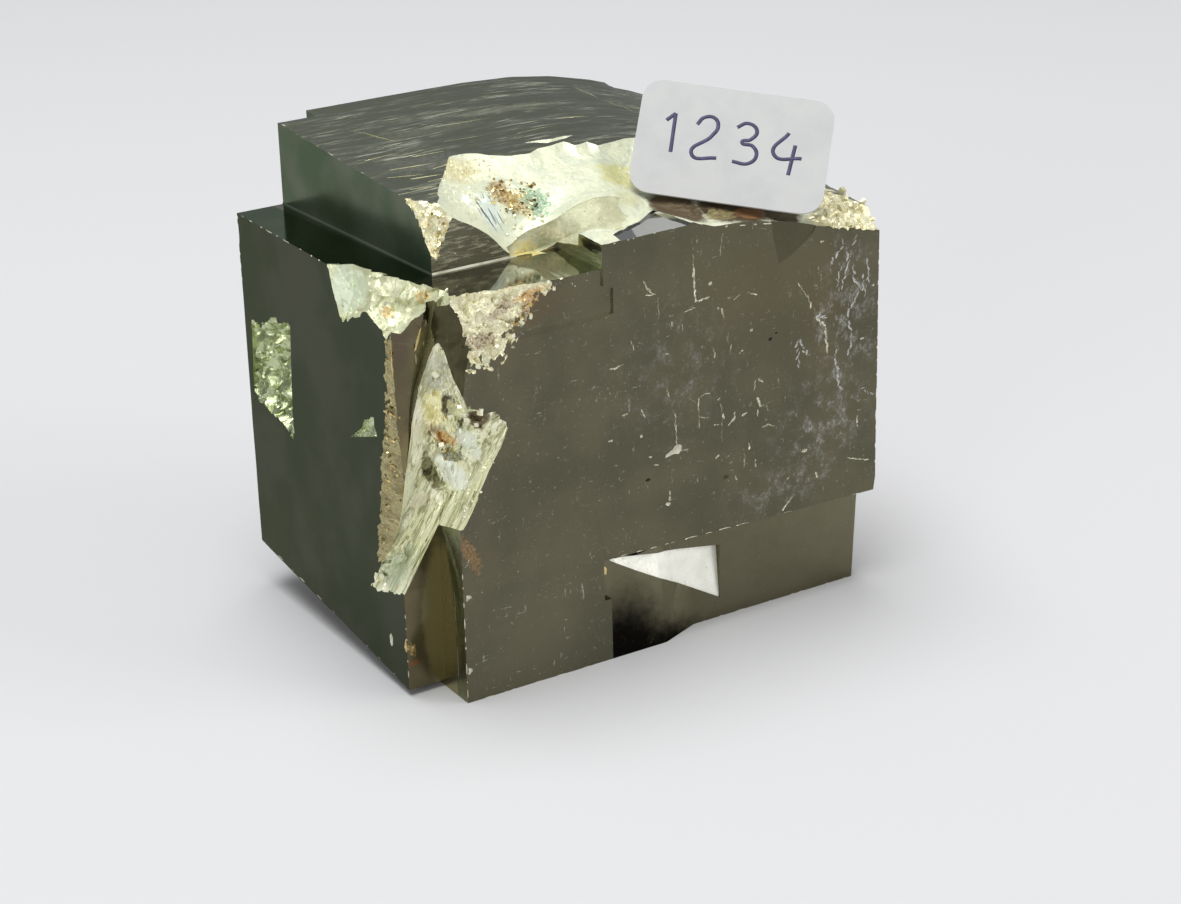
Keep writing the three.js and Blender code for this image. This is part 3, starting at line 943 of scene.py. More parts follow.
# Lower face: lighter than the front face, as painted light that makes up for the shade under the overhang.
DEEP = CrystalFace(
    "lower_face", (0.17, 0.158, 0.105), (0.145, 0.133, 0.085),
    spots=(
        # Near-black spots at the foot: painted shadow where the lower face meets the floor.
        Spot((18.6, 1, 0), (7.2, 4, 9), (0.006, 0.005, 0.004), soft=0.7, ragged=0.3),
        Spot((23, 1, -0.8), (8, 4, 4), (0.006, 0.005, 0.004), soft=0.7, ragged=0.3),
        # Thin near-black band over the recess: painted shade in the gap under the overhang.
        Spot((21.2, 2, 10.5), (3.6, 2, 0.65), (0.006, 0.005, 0.004), 1, 0.3, 0.4, turn=(0, 9, 0)),
    ),
)
BRONZE = CrystalFace(
    "bronze_face", (0.16, 0.138, 0.08), (0.12, 0.1, 0.058), roughness=0.26, fleck=(0.6, 0.5, 0.3),
    spots=(
        Spot((-3.2, 4.6, 24), (1.6, 2, 7), (0.24, 0.2, 0.1), 0.9, soft=0.9),
        Spot((-3.3, 4.4, 37), (1.2, 2, 3), (0.13, 0.1, 0.07), 0.8),
        Spot((-0.3, 4.6, 8), (2.2, 2, 9), (0.29, 0.26, 0.15), 0.8, soft=0.3, ragged=0.3),
        Spot((-3.4, 4.6, 3.6), (0.8, 2, 0.35), (0.3, 0.1, 0.04), 0.85, 0.3, 1.6, 2.4, 0.8),
        Spot((-3.5, 4.6, 5), (0.5, 2, 0.8), (0.62, 0.44, 0.16), 0.85, 0.3, 1.8, 2.4, 0.9, (0, 20, 0)),
    ),
)
LEDGE = CrystalFace(
    "ledge_face", (0.33, 0.32, 0.25), (0.29, 0.28, 0.22), roughness=0.05,
    tint=(1, 1, 1), fleck=(0.7, 0.7, 0.6), fleck_strength=0.1, dust=0.06, bump=0.001,
    spots=(
        Spot((14.9, 1.6, 41.6), (2, 3.6, 1), (0.16, 0.17, 0.095), soft=0.2, ragged=0.2),
    ),
)
SHADE = CrystalFace("shaded_face", (0.11, 0.1, 0.065), (0.09, 0.082, 0.052))
SHELF = replace(
    LEDGE, name="shelf_mirror", colour=(0.5, 0.5, 0.47), cloud=(0.44, 0.44, 0.42), dust=0.05, spots=(),
)
TOP = StriatedTop(
    "striated_top",
    spots=(
        Spot((24, 30, 49.5), (7, 1.2, 2), (0.6, 0.6, 0.42), 0.5, ragged=1.2, grain=0.8, mottle=0.5),
        Spot((14, 28, 49.5), (7, 1.5, 2), (0.45, 0.46, 0.34), 0.5, ragged=1.2, grain=0.8, mottle=0.5),
        Spot((9, 20, 49), (6, 3, 2), (0.5, 0.5, 0.42), 0.5, ragged=1.2, grain=0.8, mottle=0.7),
    ),
)
BREAK = BrokenPyrite(
    "fresh_break", (0.74, 0.76, 0.56), (0.64, 0.68, 0.52), (0.86, 0.84, 0.62), 0.5, 0.35, contrast=0.85,
    spots=(
        Spot((11, 17.5, 48.5), (3, 3.5, 2), (0.7, 0.6, 0.3), 0.8, 0.4, 1.2, 1.8, 0.8),
        Spot((11, 11.4, 45.4), (1.4, 3, 2.4), (0.6, 0.7, 0.7), 0.7, 0.6, 0.8, 1.6, 0.3),
        Spot((9.3, 13, 46.4), (0.5, 3, 2.6), (0.8, 0.82, 0.7), 0.8, turn=(0, 35, 0)),
        Spot((13.3, 13, 46.6), (1.7, 2.4, 1.8), (0.33, 0.2, 0.05), 1, 0.3, 1.6, 1.6, 0.5),
        Spot((14.6, 11.6, 45.8), (1.8, 1.8, 1.6), (0.45, 0.33, 0.1), 0.95, 0.3, 1.6, 1.6, 0.6),
        Spot((16.3, 11.4, 45.6), (1.5, 2.6, 1.8), (0.28, 0.45, 0.3), 0.95, 0.3, 1.5, 1.8, 0.6),
        Spot((26.2, 12.6, 46), (3.2, 3.6, 1.8), (0.66, 0.62, 0.2), 0.8, 0.6, 1.2, 1, 0.4),
        Spot((24, 8, 45), (3, 2, 1), (0.62, 0.62, 0.36), 0.7),
        Spot((15.2, 8.2, 42.8), (1.8, 1.5, 1.6), (0.72, 0.55, 0.2), 0.9, soft=0.6),
        Spot((17.4, 6.8, 43.6), (1.6, 1.6, 1.2), (0.66, 0.62, 0.3), 0.8),
        # Dark brown under the label: brown tarnish, darkened further as painted shadow of the label.
        Spot((28.8, 5.2, 44.2), (2.8, 5, 2.2), (0.1, 0.07, 0.032), 1, 0.3, 0.5, 1),
        Spot((34, 3.4, 43.6), (4.2, 4.6, 2.2), (0.07, 0.045, 0.02), 1, 0.3, 0.5, 1),
        Spot((35.6, 2, 43.2), (2.6, 1.4, 1.2), (0.3, 0.14, 0.045), 0.9, 0.4, 1.2, 1.2, 0.3),
        Spot((32, 2.5, 43.4), (1.8, 1.6, 1.2), (0.26, 0.22, 0.09), 0.9, 0.4, 1.2, 1.2, 0.4),
        # Dark under the label's right end too: tarnish with painted shadow of the label.
        Spot((39, 2.4, 42.8), (2.6, 4, 2), (0.08, 0.065, 0.03), 1, 0.3, 0.5, 1),
    ),
)
SCAR = BrokenPyrite(
    "corner_break", (0.96, 0.96, 0.74), (0.85, 0.86, 0.6), (0.3, 0.3, 0.13), 0.34, 0.35,
    stretch=(1, 1, 0.1), turn=(0, -27.5, 0), contrast=0.6, streaks=0.65,
    spots=(
        Spot((-1.6, 4.8, 28.3), (0.65, 2, 3.4), (0.96, 0.94, 0.8), 1, 0.2, 0.6, 1.8, 0.1),
        Spot((-1.2, 5.1, 25), (1.3, 2, 1.8), (0.93, 0.93, 0.75), 1, 0.2, 0.6, 1.8, 0.1),
        Spot((-2.5, 5.3, 21.6), (1.4, 2, 3.2), (0.93, 0.94, 0.75), 1, 0.2, 0.6, 1.8, 0.15),
        Spot((-1.2, 6.2, 19.8), (1.3, 2, 1), (0.9, 0.86, 0.72), 0.9, 0.3, 0.8, 1.8, 0.2),
        Spot((1.8, 4.4, 22.6), (0.95, 2.2, 2.7), (0.92, 0.95, 0.84), 1, 0.2, 0.6, 1.6, 0.1, (0, 30, 0)),
        Spot((2.9, 3, 26), (0.7, 2, 2), (0.84, 0.88, 0.74), 1, 0.2, 0.6, 1.6, 0.1, (0, 20, 0)),
        Spot((0.1, 4.5, 29.6), (1.3, 2, 2.4), (0.96, 0.92, 0.58), 1, 0.3, 0.5, 1.6, 0.1),
        Spot((0.1, 4.8, 27.3), (0.9, 2, 0.9), (0.52, 0.4, 0.24), 0.8, 0.5, 0.8, 1.8, 0.3),
        Spot((-0.1, 3.5, 33.6), (1.6, 2, 2.8), (0.58, 0.58, 0.45), 0.8, 0.4, 0.6, 1.6, 0.3),
        # Dark spots on the pits sunk into the scar: painted shade in the pits.
        Spot((0.2, 5.8, 22.6), (0.7, 2, 2.4), (0.2, 0.19, 0.08), 1, 0.25, 0.8, 1.6, 0.1, (0, 20, 0)),
        Spot((1.1, 3.2, 30), (0.55, 2, 1.5), (0.09, 0.07, 0.035), 1, 0.3, 0.8, 2, 0.1),
        Spot((3, 1, 29.2), (1.1, 1.6, 1.4), (0.16, 0.12, 0.06), 1, 0.2, 0.5, 2, 0.1),
        Spot((1.9, 3.8, 26.7), (0.8, 2, 0.9), (0.92, 0.92, 0.8), 0.95, 0.3, 1.2, 2.4, 0.5),
        Spot((1.7, 4.2, 24.6), (0.9, 2, 0.7), (0.16, 0.16, 0.08), 0.95, 0.3, 1.2, 2.4, 0.4),
        Spot((1.1, 4.4, 26.4), (0.9, 2, 0.8), (0.7, 0.42, 0.12), 0.95, 0.3, 1.2, 2.4, 0.4),
        Spot((-2.8, 8.3, 12.8), (0.9, 2.5, 3.4), (0.46, 0.52, 0.35), 0.75, 0.3, 0.8, 1.6, 0.3, (0, -27, 0)),
        Spot((0.7, 2.2, 20.6), (1.4, 2, 1.3), (0.45, 0.47, 0.3), 0.7, 0.4, 1, 3.4, 0.6),
    ),
)
GLITTER = BrokenPyrite(
    "glittering_break", (0.88, 0.85, 0.62), (0.68, 0.64, 0.42), (0.3, 0.22, 0.1), 0.42, 0.4,
    scale=1.3, contrast=0.9,
    spots=(
        Spot((9.3, 0.4, 39.6), (1.4, 1.5, 1.6), (0.5, 0.26, 0.1), 0.9, 0.3, 1.4, 2, 0.6),
        Spot((3, 0.8, 37), (2.4, 1.5, 0.9), (0.3, 0.22, 0.14), 0.85, 0.3, 1.4, 2, 0.6),
        Spot((5.8, 0.7, 39.6), (2.2, 1.5, 0.7), (0.4, 0.3, 0.2), 0.8, 0.3, 1.4, 2, 0.6, (0, 20, 0)),
        Spot((7.8, 0.6, 38.2), (1.6, 1.5, 1), (0.22, 0.14, 0.07), 0.85, 0.3, 1.4, 2, 0.6, (0, 30, 0)),
        Spot((9, 0.5, 40.6), (2, 1.5, 0.5), (0.75, 0.5, 0.2), 0.85, 0.3, 1.4, 2, 0.6, (0, 10, 0)),
    ),
)
SLAB_BREAK = BrokenPyrite(
    "slab_break", (0.68, 0.7, 0.47), (0.5, 0.52, 0.33), (0.76, 0.68, 0.4), 0.42, 0.35,
    spots=(
        Spot((-3, 14.6, 39.6), (1.6, 2.7, 3), (0.66, 0.72, 0.54), soft=0.2, ragged=0.4),
        Spot((-2.7, 7.6, 39.2), (0.6, 1, 0.8), (0.6, 0.38, 0.12), 0.9, 0.3, 1.4, 2.4, 0.5),
        Spot((0, 5.4, 40.8), (0.8, 1, 0.8), (0.6, 0.42, 0.14), 0.9, 0.3, 1.4, 2.4, 0.5),
        Spot((-3.4, 15.6, 37.6), (0.5, 0.6, 0.6), (0.2, 0.2, 0.13), 0.9, 0.3, 1.4, 2.4, 0.3),
    ),
)
LOWER_HOLLOW = BrokenPyrite(
    "lower_hollow", (0.55, 0.56, 0.37), (0.42, 0.42, 0.26), (0.78, 0.76, 0.54), 0.6, 0.2,
    contrast=1, bump=0.08,
    spots=(
        Spot((13.2, 8.2, 42), (2.2, 1.7, 1.1), (0.68, 0.56, 0.18), ragged=1.2, mottle=0.5),
        Spot((15.9, 8.2, 43.2), (1.9, 1.8, 1.3), (0.84, 0.8, 0.54), 0.95, ragged=1.2, mottle=0.5),
    ),
)
GOLDEN = BrokenPyrite(
    "golden_grain", (0.42, 0.37, 0.18), (0.26, 0.22, 0.1), (0.9, 0.8, 0.46), 0.28, 0.85,
    stretch=(0.6, 0.6, 1.6), contrast=0.8, bump=0.03,
)
GOLD_LINE = BrokenPyrite(
    "golden_line", (0.72, 0.56, 0.24), (0.5, 0.36, 0.13), (0.9, 0.84, 0.6), 0.3, 0.6, contrast=0.5, bump=0.01,
)
POCKET = BrokenPyrite(
    "pocket_wall", (0.58, 0.64, 0.39), (0.38, 0.43, 0.24), (0.8, 0.82, 0.6), 0.2, 0.95, contrast=0.3,
)
PALE_FACET = BrokenPyrite(
    "pale_facet", (0.8, 0.82, 0.6), (0.74, 0.77, 0.56), (0.7, 0.7, 0.5), 0.4, 0.4, contrast=0.2, bump=0.01,
)
GRANULAR = BrokenPyrite(
    "granular_break", (0.82, 0.79, 0.56), (0.74, 0.68, 0.42), (0.5, 0.38, 0.18), 0.36, 0.5,
    scale=1.3, contrast=0.6,
)
# Near-white: a pale coating brightened as painted sheen; only recess faces that look to the front keep it.
SHEEN = BrokenPyrite(
    "bright_facet", (0.98, 0.98, 0.9), (0.88, 0.89, 0.8), (0.9, 0.82, 0.64), 0.45, 0.25,
    contrast=0.7, bump=0.03,
)
CHIP = BrokenPyrite(
    "bright_chip", (0.66, 0.66, 0.54), (0.44, 0.43, 0.32), (0.8, 0.74, 0.5), 0.4, 0.6,
    contrast=0.4, bump=0.01,
)
BLUE_LINE = BrokenPyrite(
    "blue_line", (0.5, 0.58, 0.6), (0.36, 0.44, 0.5), (0.6, 0.66, 0.62), 0.4, 0.4, contrast=0.5, bump=0.01,
)
WISP = BrokenPyrite(
    "pale_wisp", (0.56, 0.56, 0.54), (0.36, 0.36, 0.34), (0.7, 0.7, 0.68), 0.5, 0.3, contrast=0.5, bump=0.01,
)
CREAM_GRAIN = BrokenPyrite(
    "cream_grain", (0.9, 0.88, 0.68), (0.8, 0.8, 0.6), (0.66, 0.6, 0.38), 0.3, 0.6, contrast=0.4, bump=0.01,
)
GOLD_GRAIN = BrokenPyrite(
    "gold_grain", (0.8, 0.66, 0.33), (0.6, 0.42, 0.16), (0.86, 0.8, 0.55), 0.25, 0.9, contrast=0.5, bump=0.01,
)
DARK_GRAIN = BrokenPyrite(
    "dark_grain", (0.2, 0.15, 0.07), (0.12, 0.1, 0.05), (0.35, 0.25, 0.1), 0.3, 0.9, contrast=0.4, bump=0.01,
)
WHITE_PAPER = Paper("label_paper")
PEN_INK = Ink("pen_ink")
FLOOR = PaleFloor("pale_floor")


@dataclass
class Cubes:
    """The intergrown cubes before anything broke off them, in millimetres."""

    main_width: float = 49.9
    main_depth: float = 37.4
    ledge_height: float = 41.57
    undercut_left: float = 11.2
    undercut_right: float = 10.5
    foot_width: float = 16.9
    foot_neck: float = 16.1
    foot_step: float = 6.7
    slab_left: float = -4.11
    slab_front: float = 4.66
    slab_front_top: float = 2.9
    slab_foot: Span = (0.7, 4.8)
    riser_left: float = 16.6
    upper_front: float = 8.3
    upper_left: Span = (2.62, 1.23)
    setback: float = 2.0
    lower_right: float = 49.4
    high: float = 54.0

    def main_cube(self) -> Hewn:
        """Make the main cube, whose underside is a little lower at the right.

        Returns:
            The cube.
        """
        left, right = self.undercut_left + 0.2, self.undercut_right
        width, depth, top = self.main_width, self.main_depth, self.ledge_height
        return Hewn(
            [(0, 0, left), (width, 0, right), (width, depth, right), (0, depth, left)],
            [(0, 0, top), (width, 0, top), (width, depth, top), (0, depth, top)],
            FACE,
        )

    def front_foot(self) -> list[Hewn]:
        """Make the foot under the left of the front face, with its little step."""
        return [
            block((0, self.foot_neck), (0, 20), (0, self.undercut_left + 1), FACE),
            block((3, self.foot_width), (0.01, 20), (0, self.foot_step), FACE),
        ]

    def left_slab(self) -> Hewn:
        """Make the slab at the left, whose foot rises to the back.

        Returns:
            The slab.
        """
        left, inside, front = self.slab_left, 1, self.slab_front
        low, high, depth, top = *self.slab_foot, self.main_depth - 0.01, self.ledge_height
        return Hewn(
            [(left, front, low), (inside, front, low), (inside, depth, high), (left, depth, high)],
            [(left, front, top), (inside, self.slab_front_top, top), (inside, depth, top),
             (left, depth, top)],
            FACE,
        )

    def lower_block(self) -> list[Hewn]:
        """Make the block under the main cube, set back, that comes forward at its lower left.

        Returns:
            Its columns, from left to right.
        """
        top, back, forward, set_in = self.undercut_left + 1, self.main_depth - 2.6, 0.15, self.setback

        def column(x: Span, low: Span, high: Span) -> Hewn:
            """Make one column from its sides and its front at the foot and at the top."""
            return Hewn(
                [(x[0], low[0], 0), (x[1], low[1], 0), (x[1], back, 0), (x[0], back, 0)],
                [(x[0], high[0], top), (x[1], high[1], top), (x[1], back, top), (x[0], back, top)],
                DEEP,
            )
        flush = (set_in, set_in)
        return [
            column((2, 17), (forward + 1, forward), flush),
            column((16.8, 23.4), (forward, forward), flush),
            column((23.4, 28), (forward, set_in), flush),
            column((28, 48.4), flush, flush),
            column((48.4, self.lower_right), (set_in, set_in + 1.2), (set_in, set_in + 0.4)),
        ]

    def upper_block(self) -> list[Hewn]:
        """Make everything over the ledge, before its top and its front are broken.

        Returns:
            The upper block and the riser.
        """
        low, front, width, depth = self.ledge_height - 1, self.upper_front, self.main_width, self.main_depth
        (front_left, back_left), high = self.upper_left, self.high

        def level(height: float) -> list[Point]:
            """List the corners at one height."""
            return [(front_left, front, height), (width, front, height),
                    (width, depth, height), (back_left, depth, height)]
        riser = block((self.riser_left, width), (0, front + 1), (low, high), FACE)
        return [Hewn(level(low), level(high), FACE), riser]

    def ribs(self) -> list[Hewn]:
        """Make the low pale ribs along the foot of the upper block's left and front walls.

        Returns:
            The left rib and the front one.
        """
        (front_left, back_left), low = self.upper_left, self.ledge_height - 0.3
        front, back, high = self.upper_front, self.main_depth, self.ledge_height + 0.2

        def beside(out: float, height: float) -> list[Point]:
            """List the left rib's corners at one height."""
            return [(front_left - out, front, height), (front_left + 0.3, front, height),
                    (back_left + 0.3, back, height), (back_left - out, back, height)]

        def ahead(out: Span, height: float) -> list[Point]:
            """List the front rib's corners at one height."""
            return [(front_left, front - out[0], height), (12, front - out[1], height),
                    (12, front + 0.3, height), (front_left, front + 0.3, height)]
        return [Hewn(beside(0.2, low), beside(0.02, high), SLAB_TOP),
                Hewn(ahead((0.35, 0.3), low), ahead((0.05, 0.02), high), CHIP)]

    def back_cubes(self) -> list[Hewn]:
        """Make the cubes that show only from behind."""
        depth = self.main_depth
        return [
            block((5.5, 42), (depth - 2, 39.4), (13.5, self.high), FACE),
            block((28, 41), (depth - 2, 38.6), (22, 40.5), FACE),
            block((-1.5, 11), (depth - 3, 38.7), (7.5, 24), FACE),
        ]

    def grown(self) -> list[Hewn]:
        """List every block that joins the main cube."""
        return [*self.front_foot(), self.left_slab(), *self.lower_block(), *self.upper_block(),
                *self.ribs(), *self.back_cubes()]


@dataclass
class TopFace:
    """The striated top: tilted a little to the front, and bent down at the right."""

    at_back: float = 50.3
    depth: float = 37.4
    tilt: float = 0.085
    bend: float = 0.009
    bend_from: float = 24.0
    stations: tuple[float, ...] = (-2, 8, 16, 24, 30, 35, 40, 44, 48, 52)
    ridge_depth: float = 0.1

    def height(self, x: float, y: float) -> float:
        """Give the face's height over a place of the base."""
        bent = self.bend * max(0, x - self.bend_from) ** 2
        return self.at_back - self.tilt * (self.depth - y) - bent

    def on(self, x: float, y: float) -> Point:
        """Give the point of the face over a place of the base."""
        return (x, y, self.height(x, y))

    def striations(self, point: Vector) -> float:
        """Give the depth of the long grooves across the face at a point.

        Args:
            point: The point.

        Returns:
            The depth.
        """
        across = point.y + 0.05 * point.x + 0.5 * noise.noise(Vector((point.x / 14, point.y / 9, 3.1)))
        broad = noise.ridged_multi_fractal(Vector((point.x / 40, across / 2.2, 0.7)), 1, 2.1, 3, 1, 2)
        fine = noise.noise(Vector((point.x / 9, across / 0.35, 5.2)))
        return self.ridge_depth * broad + 0.03 * fine

    def cutter(self) -> Net:
        """Cut away everything over the face."""
        rows = [[self.on(x, y) for x in self.stations] for y in (41, -3)]
        return Net(lines(rows), (0, 0, 20), TOP, 60, 200, self.striations)


@dataclass(frozen=True)
class Station:
    """One place across the broken front of the top, from the bowl under the rim to the lip."""

    bowl: Point
    ridge: Point
    shelf: Point
    lip: Span


@dataclass
class BrokenTop:
    """The big hollow break of the top's front, from the ledge to the label's right end."""

    top: TopFace
    rim: tuple[Point, ...] = (
        (0, 12.7, 21.8), (1, 14, 20.4), (2, 15.3, 19), (3, 17.2, 18), (3.9, 19.3, 17.7),
        (4.3, 20.6, 18.3), (4.7, 21.9, 18.3), (5.3, 24, 18.7), (5.55, 24.6, 17.5), (6, 26.3, 18.2),
        (6.25, 26.8, 16.9), (7, 29.6, 17.2), (8, 31.9, 17.7), (9, 32.2, 11.2), (10, 36.2, 6.6),
        (11, 40.4, 4.4), (12, 44.6, 5.2), (13, 48, 6.4), (14, 51.5, 7.5),
    )
    stations: tuple[Station, ...] = (
        Station((4.5, 10.5, 48), (5, 6, 46.3), (5, 2, 46.3), (5, 46.3)),
        Station((8.7, 12.5, 46.9), (9, 8.1, 44.2), (9.2, 2, 44.4), (9.2, 44.4)),
        Station((11.7, 12.2, 46.7), (11.7, 8.2, 41.7), (11.6, 2, 43), (11.6, 43)),
        Station((15.4, 12.2, 46.1), (13.9, 8.3, 43), (13.8, 2, 43.8), (13.8, 44.1)),
        Station((18.4, 12.5, 46.3), (16.1, 8.4, 44.1), (16.2, 2, 44.1), (16.2, 44.1)),
        Station((21.3, 12.5, 46.6), (19.1, 7.8, 45.7), (17, 0.7, 44.1), (17, 44.1)),
        Station((24.4, 12.5, 46.8), (21.7, 7.6, 46), (20.2, 2.7, 44.2), (20.2, 44.25)),
        Station((27.3, 13, 46.2), (24.4, 7.6, 45.3), (23.5, 4.8, 44.3), (23.8, 44.4)),
        Station((29.4, 11.6, 46.2), (27.2, 7.9, 44.4), (26.2, 6, 44.2), (27.5, 44.4)),
        Station((30.8, 8.8, 45.9), (29.8, 6.4, 44.3), (29.6, 2.4, 43.6), (29.8, 43.3)),
        Station((34.8, 5.2, 44.7), (34, 3.4, 43.6), (34, 1.2, 43.1), (34.2, 43)),
        Station((39.6, 3.2, 43.5), (39, 1.8, 42.6), (38.8, 0.6, 42.1), (38.8, 41.9)),
        Station((44.5, 3.6, 42.8), (44.2, 2, 41.7), (44, 0.5, 40.6), (43.8, 40.5)),
        Station((48, 4.4, 42.5), (48, 2.4, 41.6), (48, 0.6, 39.6), (48, 39.2)),
        Station((51.5, 5, 41.9), (51.5, 2.4, 41.6), (51.5, 0.5, 38.8), (51.5, 38.2)),
    )
    relief: Relief = Relief(
        4, 0.12, 1.4, 0.05, 0.5, 0.03, seed=4,
        patches=(
            RoughPatch((11, 17.5, 48.5), 3.5, Relief(chip=0.8, chip_depth=0.3)),
            RoughPatch((8.5, 12.5, 47), 4.5, Relief(chip=0.6, chip_depth=0.3)),
            RoughPatch(
                (13.6, 12.6, 46.6), 2.4, Relief(chip=0.5, chip_depth=0.5, grain=0.4, grain_depth=0.2), 0.3,
            ),
            RoughPatch((16.3, 11.4, 45.6), 2, Relief(chip=0.5, chip_depth=0.4), 0.15),
            RoughPatch((31.5, 4.5, 43.8), 4.5, Relief(chip=0.9, chip_depth=0.3)),
            RoughPatch((46.5, 2.5, 41), 6, Relief(chip=0.9, chip_depth=0.7, grain=0.5, grain_depth=0.25)),
        ),
    )

    def cutter(self) -> Net:
        """Cut the hollow, the second hollow in front of its ridge, and the narrow shelf.

        Returns:
            The cutter.
        """
        last = len(self.stations) - 1

        def sagging(first: Line, second: Line, sag: float) -> Line:
            """Give the line halfway between two, let down a little.

            Args:
                first: One line.
                second: The other line.
                sag: How far down.

            Returns:
                The smooth line between them.
            """
            points = []
            for index in range(last + 1):
                middle = (first.at(index / last) + second.at(index / last)) / 2
                points.append(tuple(middle - Vector((0, 0, sag))))
            return Line(tuple(points), smooth=True)
        rim = Line(
            tuple(self.top.on(x, y) for _, x, y in self.rim),
            tuple(place / last for place, _, _ in self.rim),
        )
        bowl = Line(tuple(station.bowl for station in self.stations), smooth=True)
        ridge = Line(tuple(station.ridge for station in self.stations), smooth=True)
        shelf = Line(tuple(station.shelf for station in self.stations))
        lip = Line(tuple((station.lip[0], -2.5, station.lip[1]) for station in self.stations))
        rows = [rim, sagging(rim, bowl, 0.3), bowl, sagging(bowl, ridge, 0.2), ridge,
                sagging(ridge, shelf, 0.15), shelf, lip]
        return Net(
            rows, (0, 0, 20), BREAK, 210, 84, self.relief.depth, smooth=True, creases=frozenset({4, 6}),
            calm=0.05,
        )

    def wedge(self) -> Net:
        """Cut the small hollow that runs down to the ledge, left of the riser."""
        rows = [
            [(11.2, 8.9, 42), (12.6, 9.3, 42.9), (14, 9.4, 43.8), (15.8, 8.9, 44.3), (17.6, 8.3, 44.95),
             (19.6, 7.9, 45.8), (22, 7.7, 45.95), (25, 7.8, 45.2), (27, 8, 44.5)],
            [(11.25, 8.5, 41.62), (12.9, 8.7, 41.62), (14.5, 9, 41.62), (16.2, 9.2, 41.8), (17.5, 6.7, 43.2),
             (19.4, 5.6, 44.1), (21.6, 5, 44.5), (25, 5.6, 44.4), (26.8, 6.8, 44.3)],
            [(11.3, 7.6, 41.58), (13.1, 7.5, 41.58), (14.9, 7.4, 41.58), (16.5, 4.5, 42.8), (17.1, 3.9, 43.3),
             (18.4, 3.2, 43.75), (20.8, 2.4, 44.15), (24.2, 3.6, 44.25), (26.2, 5.8, 44.3)],
        ]
        return Net(lines(rows, True), (0, -1, 8), LOWER_HOLLOW, 90, 30, self.relief.depth)

    def shelf(self) -> Net:
        """Cut the smooth narrow shelf along the front face's upper edge."""
        rows = [
            [(18.6, -0.6, 44), (22.6, -0.6, 44.1), (26.8, -0.6, 44.15)],
            [(19, 1.8, 44.05), (23.2, 3.5, 44.1), (26.4, 6, 44)],
        ]
        return Net(lines(rows), (0, 0, 6), SHELF, 24, 6)

    def flake(self) -> Net:
        """Cut the thin pale flake that stands off the hollow's rim."""
        rows = [
            [(20, 20.4, 48.95), (21.9, 20.4, 48.95), (23.5, 19.9, 48.9), (25.4, 20.6, 48.95),
             (26.9, 20.5, 48.9)],
            [(20.6, 19.9, 48.6), (21.6, 19.4, 48.4), (22.2, 18.9, 48.3), (24, 19.2, 48.3),
             (24.6, 19.3, 48.35)],
        ]
        return Net(lines(rows), (0, 0, 6), BREAK, 24, 6)

    def blue_lines(self) -> list[Nicks]:
        """Cut the short slanting lines in the hollow's left slope, neighbours in two cutters.

        Returns:
            The two cutters.
        """
        draw = random.Random(30)
        hollow = self.cutter()
        dents = []
        for index in range(14):
            u, v = 0.09 + 0.004 * index, draw.uniform(0.24, 0.38)
            start, end = hollow.point(u, v), hollow.point(u + 0.008, v + draw.uniform(0.05, 0.1))
            dents.append(along(start, end, 0.25, draw.uniform(0.03, 0.07)))
        return alternate(dents, BLUE_LINE)

    def cutters(self) -> list[object]:
        """List the hollow and what is cut into it."""
        return [self.cutter(), self.wedge(), self.shelf(), self.flake(), *self.blue_lines()]

    def grains(self) -> list[Crumbs]:
        """List the grains in the hollow and at the right end."""
        hollow = self.cutter()
        return [
            Crumbs(hollow, (0.14, 0.2), (0.14, 0.36), 70, (0.12, 0.38), GOLD_GRAIN, 21),
            Crumbs(hollow, (0.18, 0.25), (0.22, 0.42), 50, (0.12, 0.38), GOLD_GRAIN, 26),
            Crumbs(hollow, (0.15, 0.25), (0.18, 0.42), 40, (0.12, 0.36), DARK_GRAIN, 22),
            Crumbs(hollow, (0.05, 0.16), (0.02, 0.3), 50, (0.12, 0.36), CREAM_GRAIN, 23),
            Crumbs(hollow, (0.14, 0.28), (0.3, 0.5), 30, (0.15, 0.45), CREAM_GRAIN, 27),
            Crumbs(hollow, (0.84, 0.97), (0.1, 0.85), 120, (0.35, 0.95), GRANULAR, 24),
            Crumbs(UpperEdge().cutter(), (0.15, 0.7), (0.3, 0.7), 30, (0.15, 0.4), CREAM_GRAIN, 28),
            Crumbs(UpperEdge().cutter(), (0.2, 0.7), (0.3, 0.7), 20, (0.12, 0.36), GOLD_GRAIN, 29),
        ]


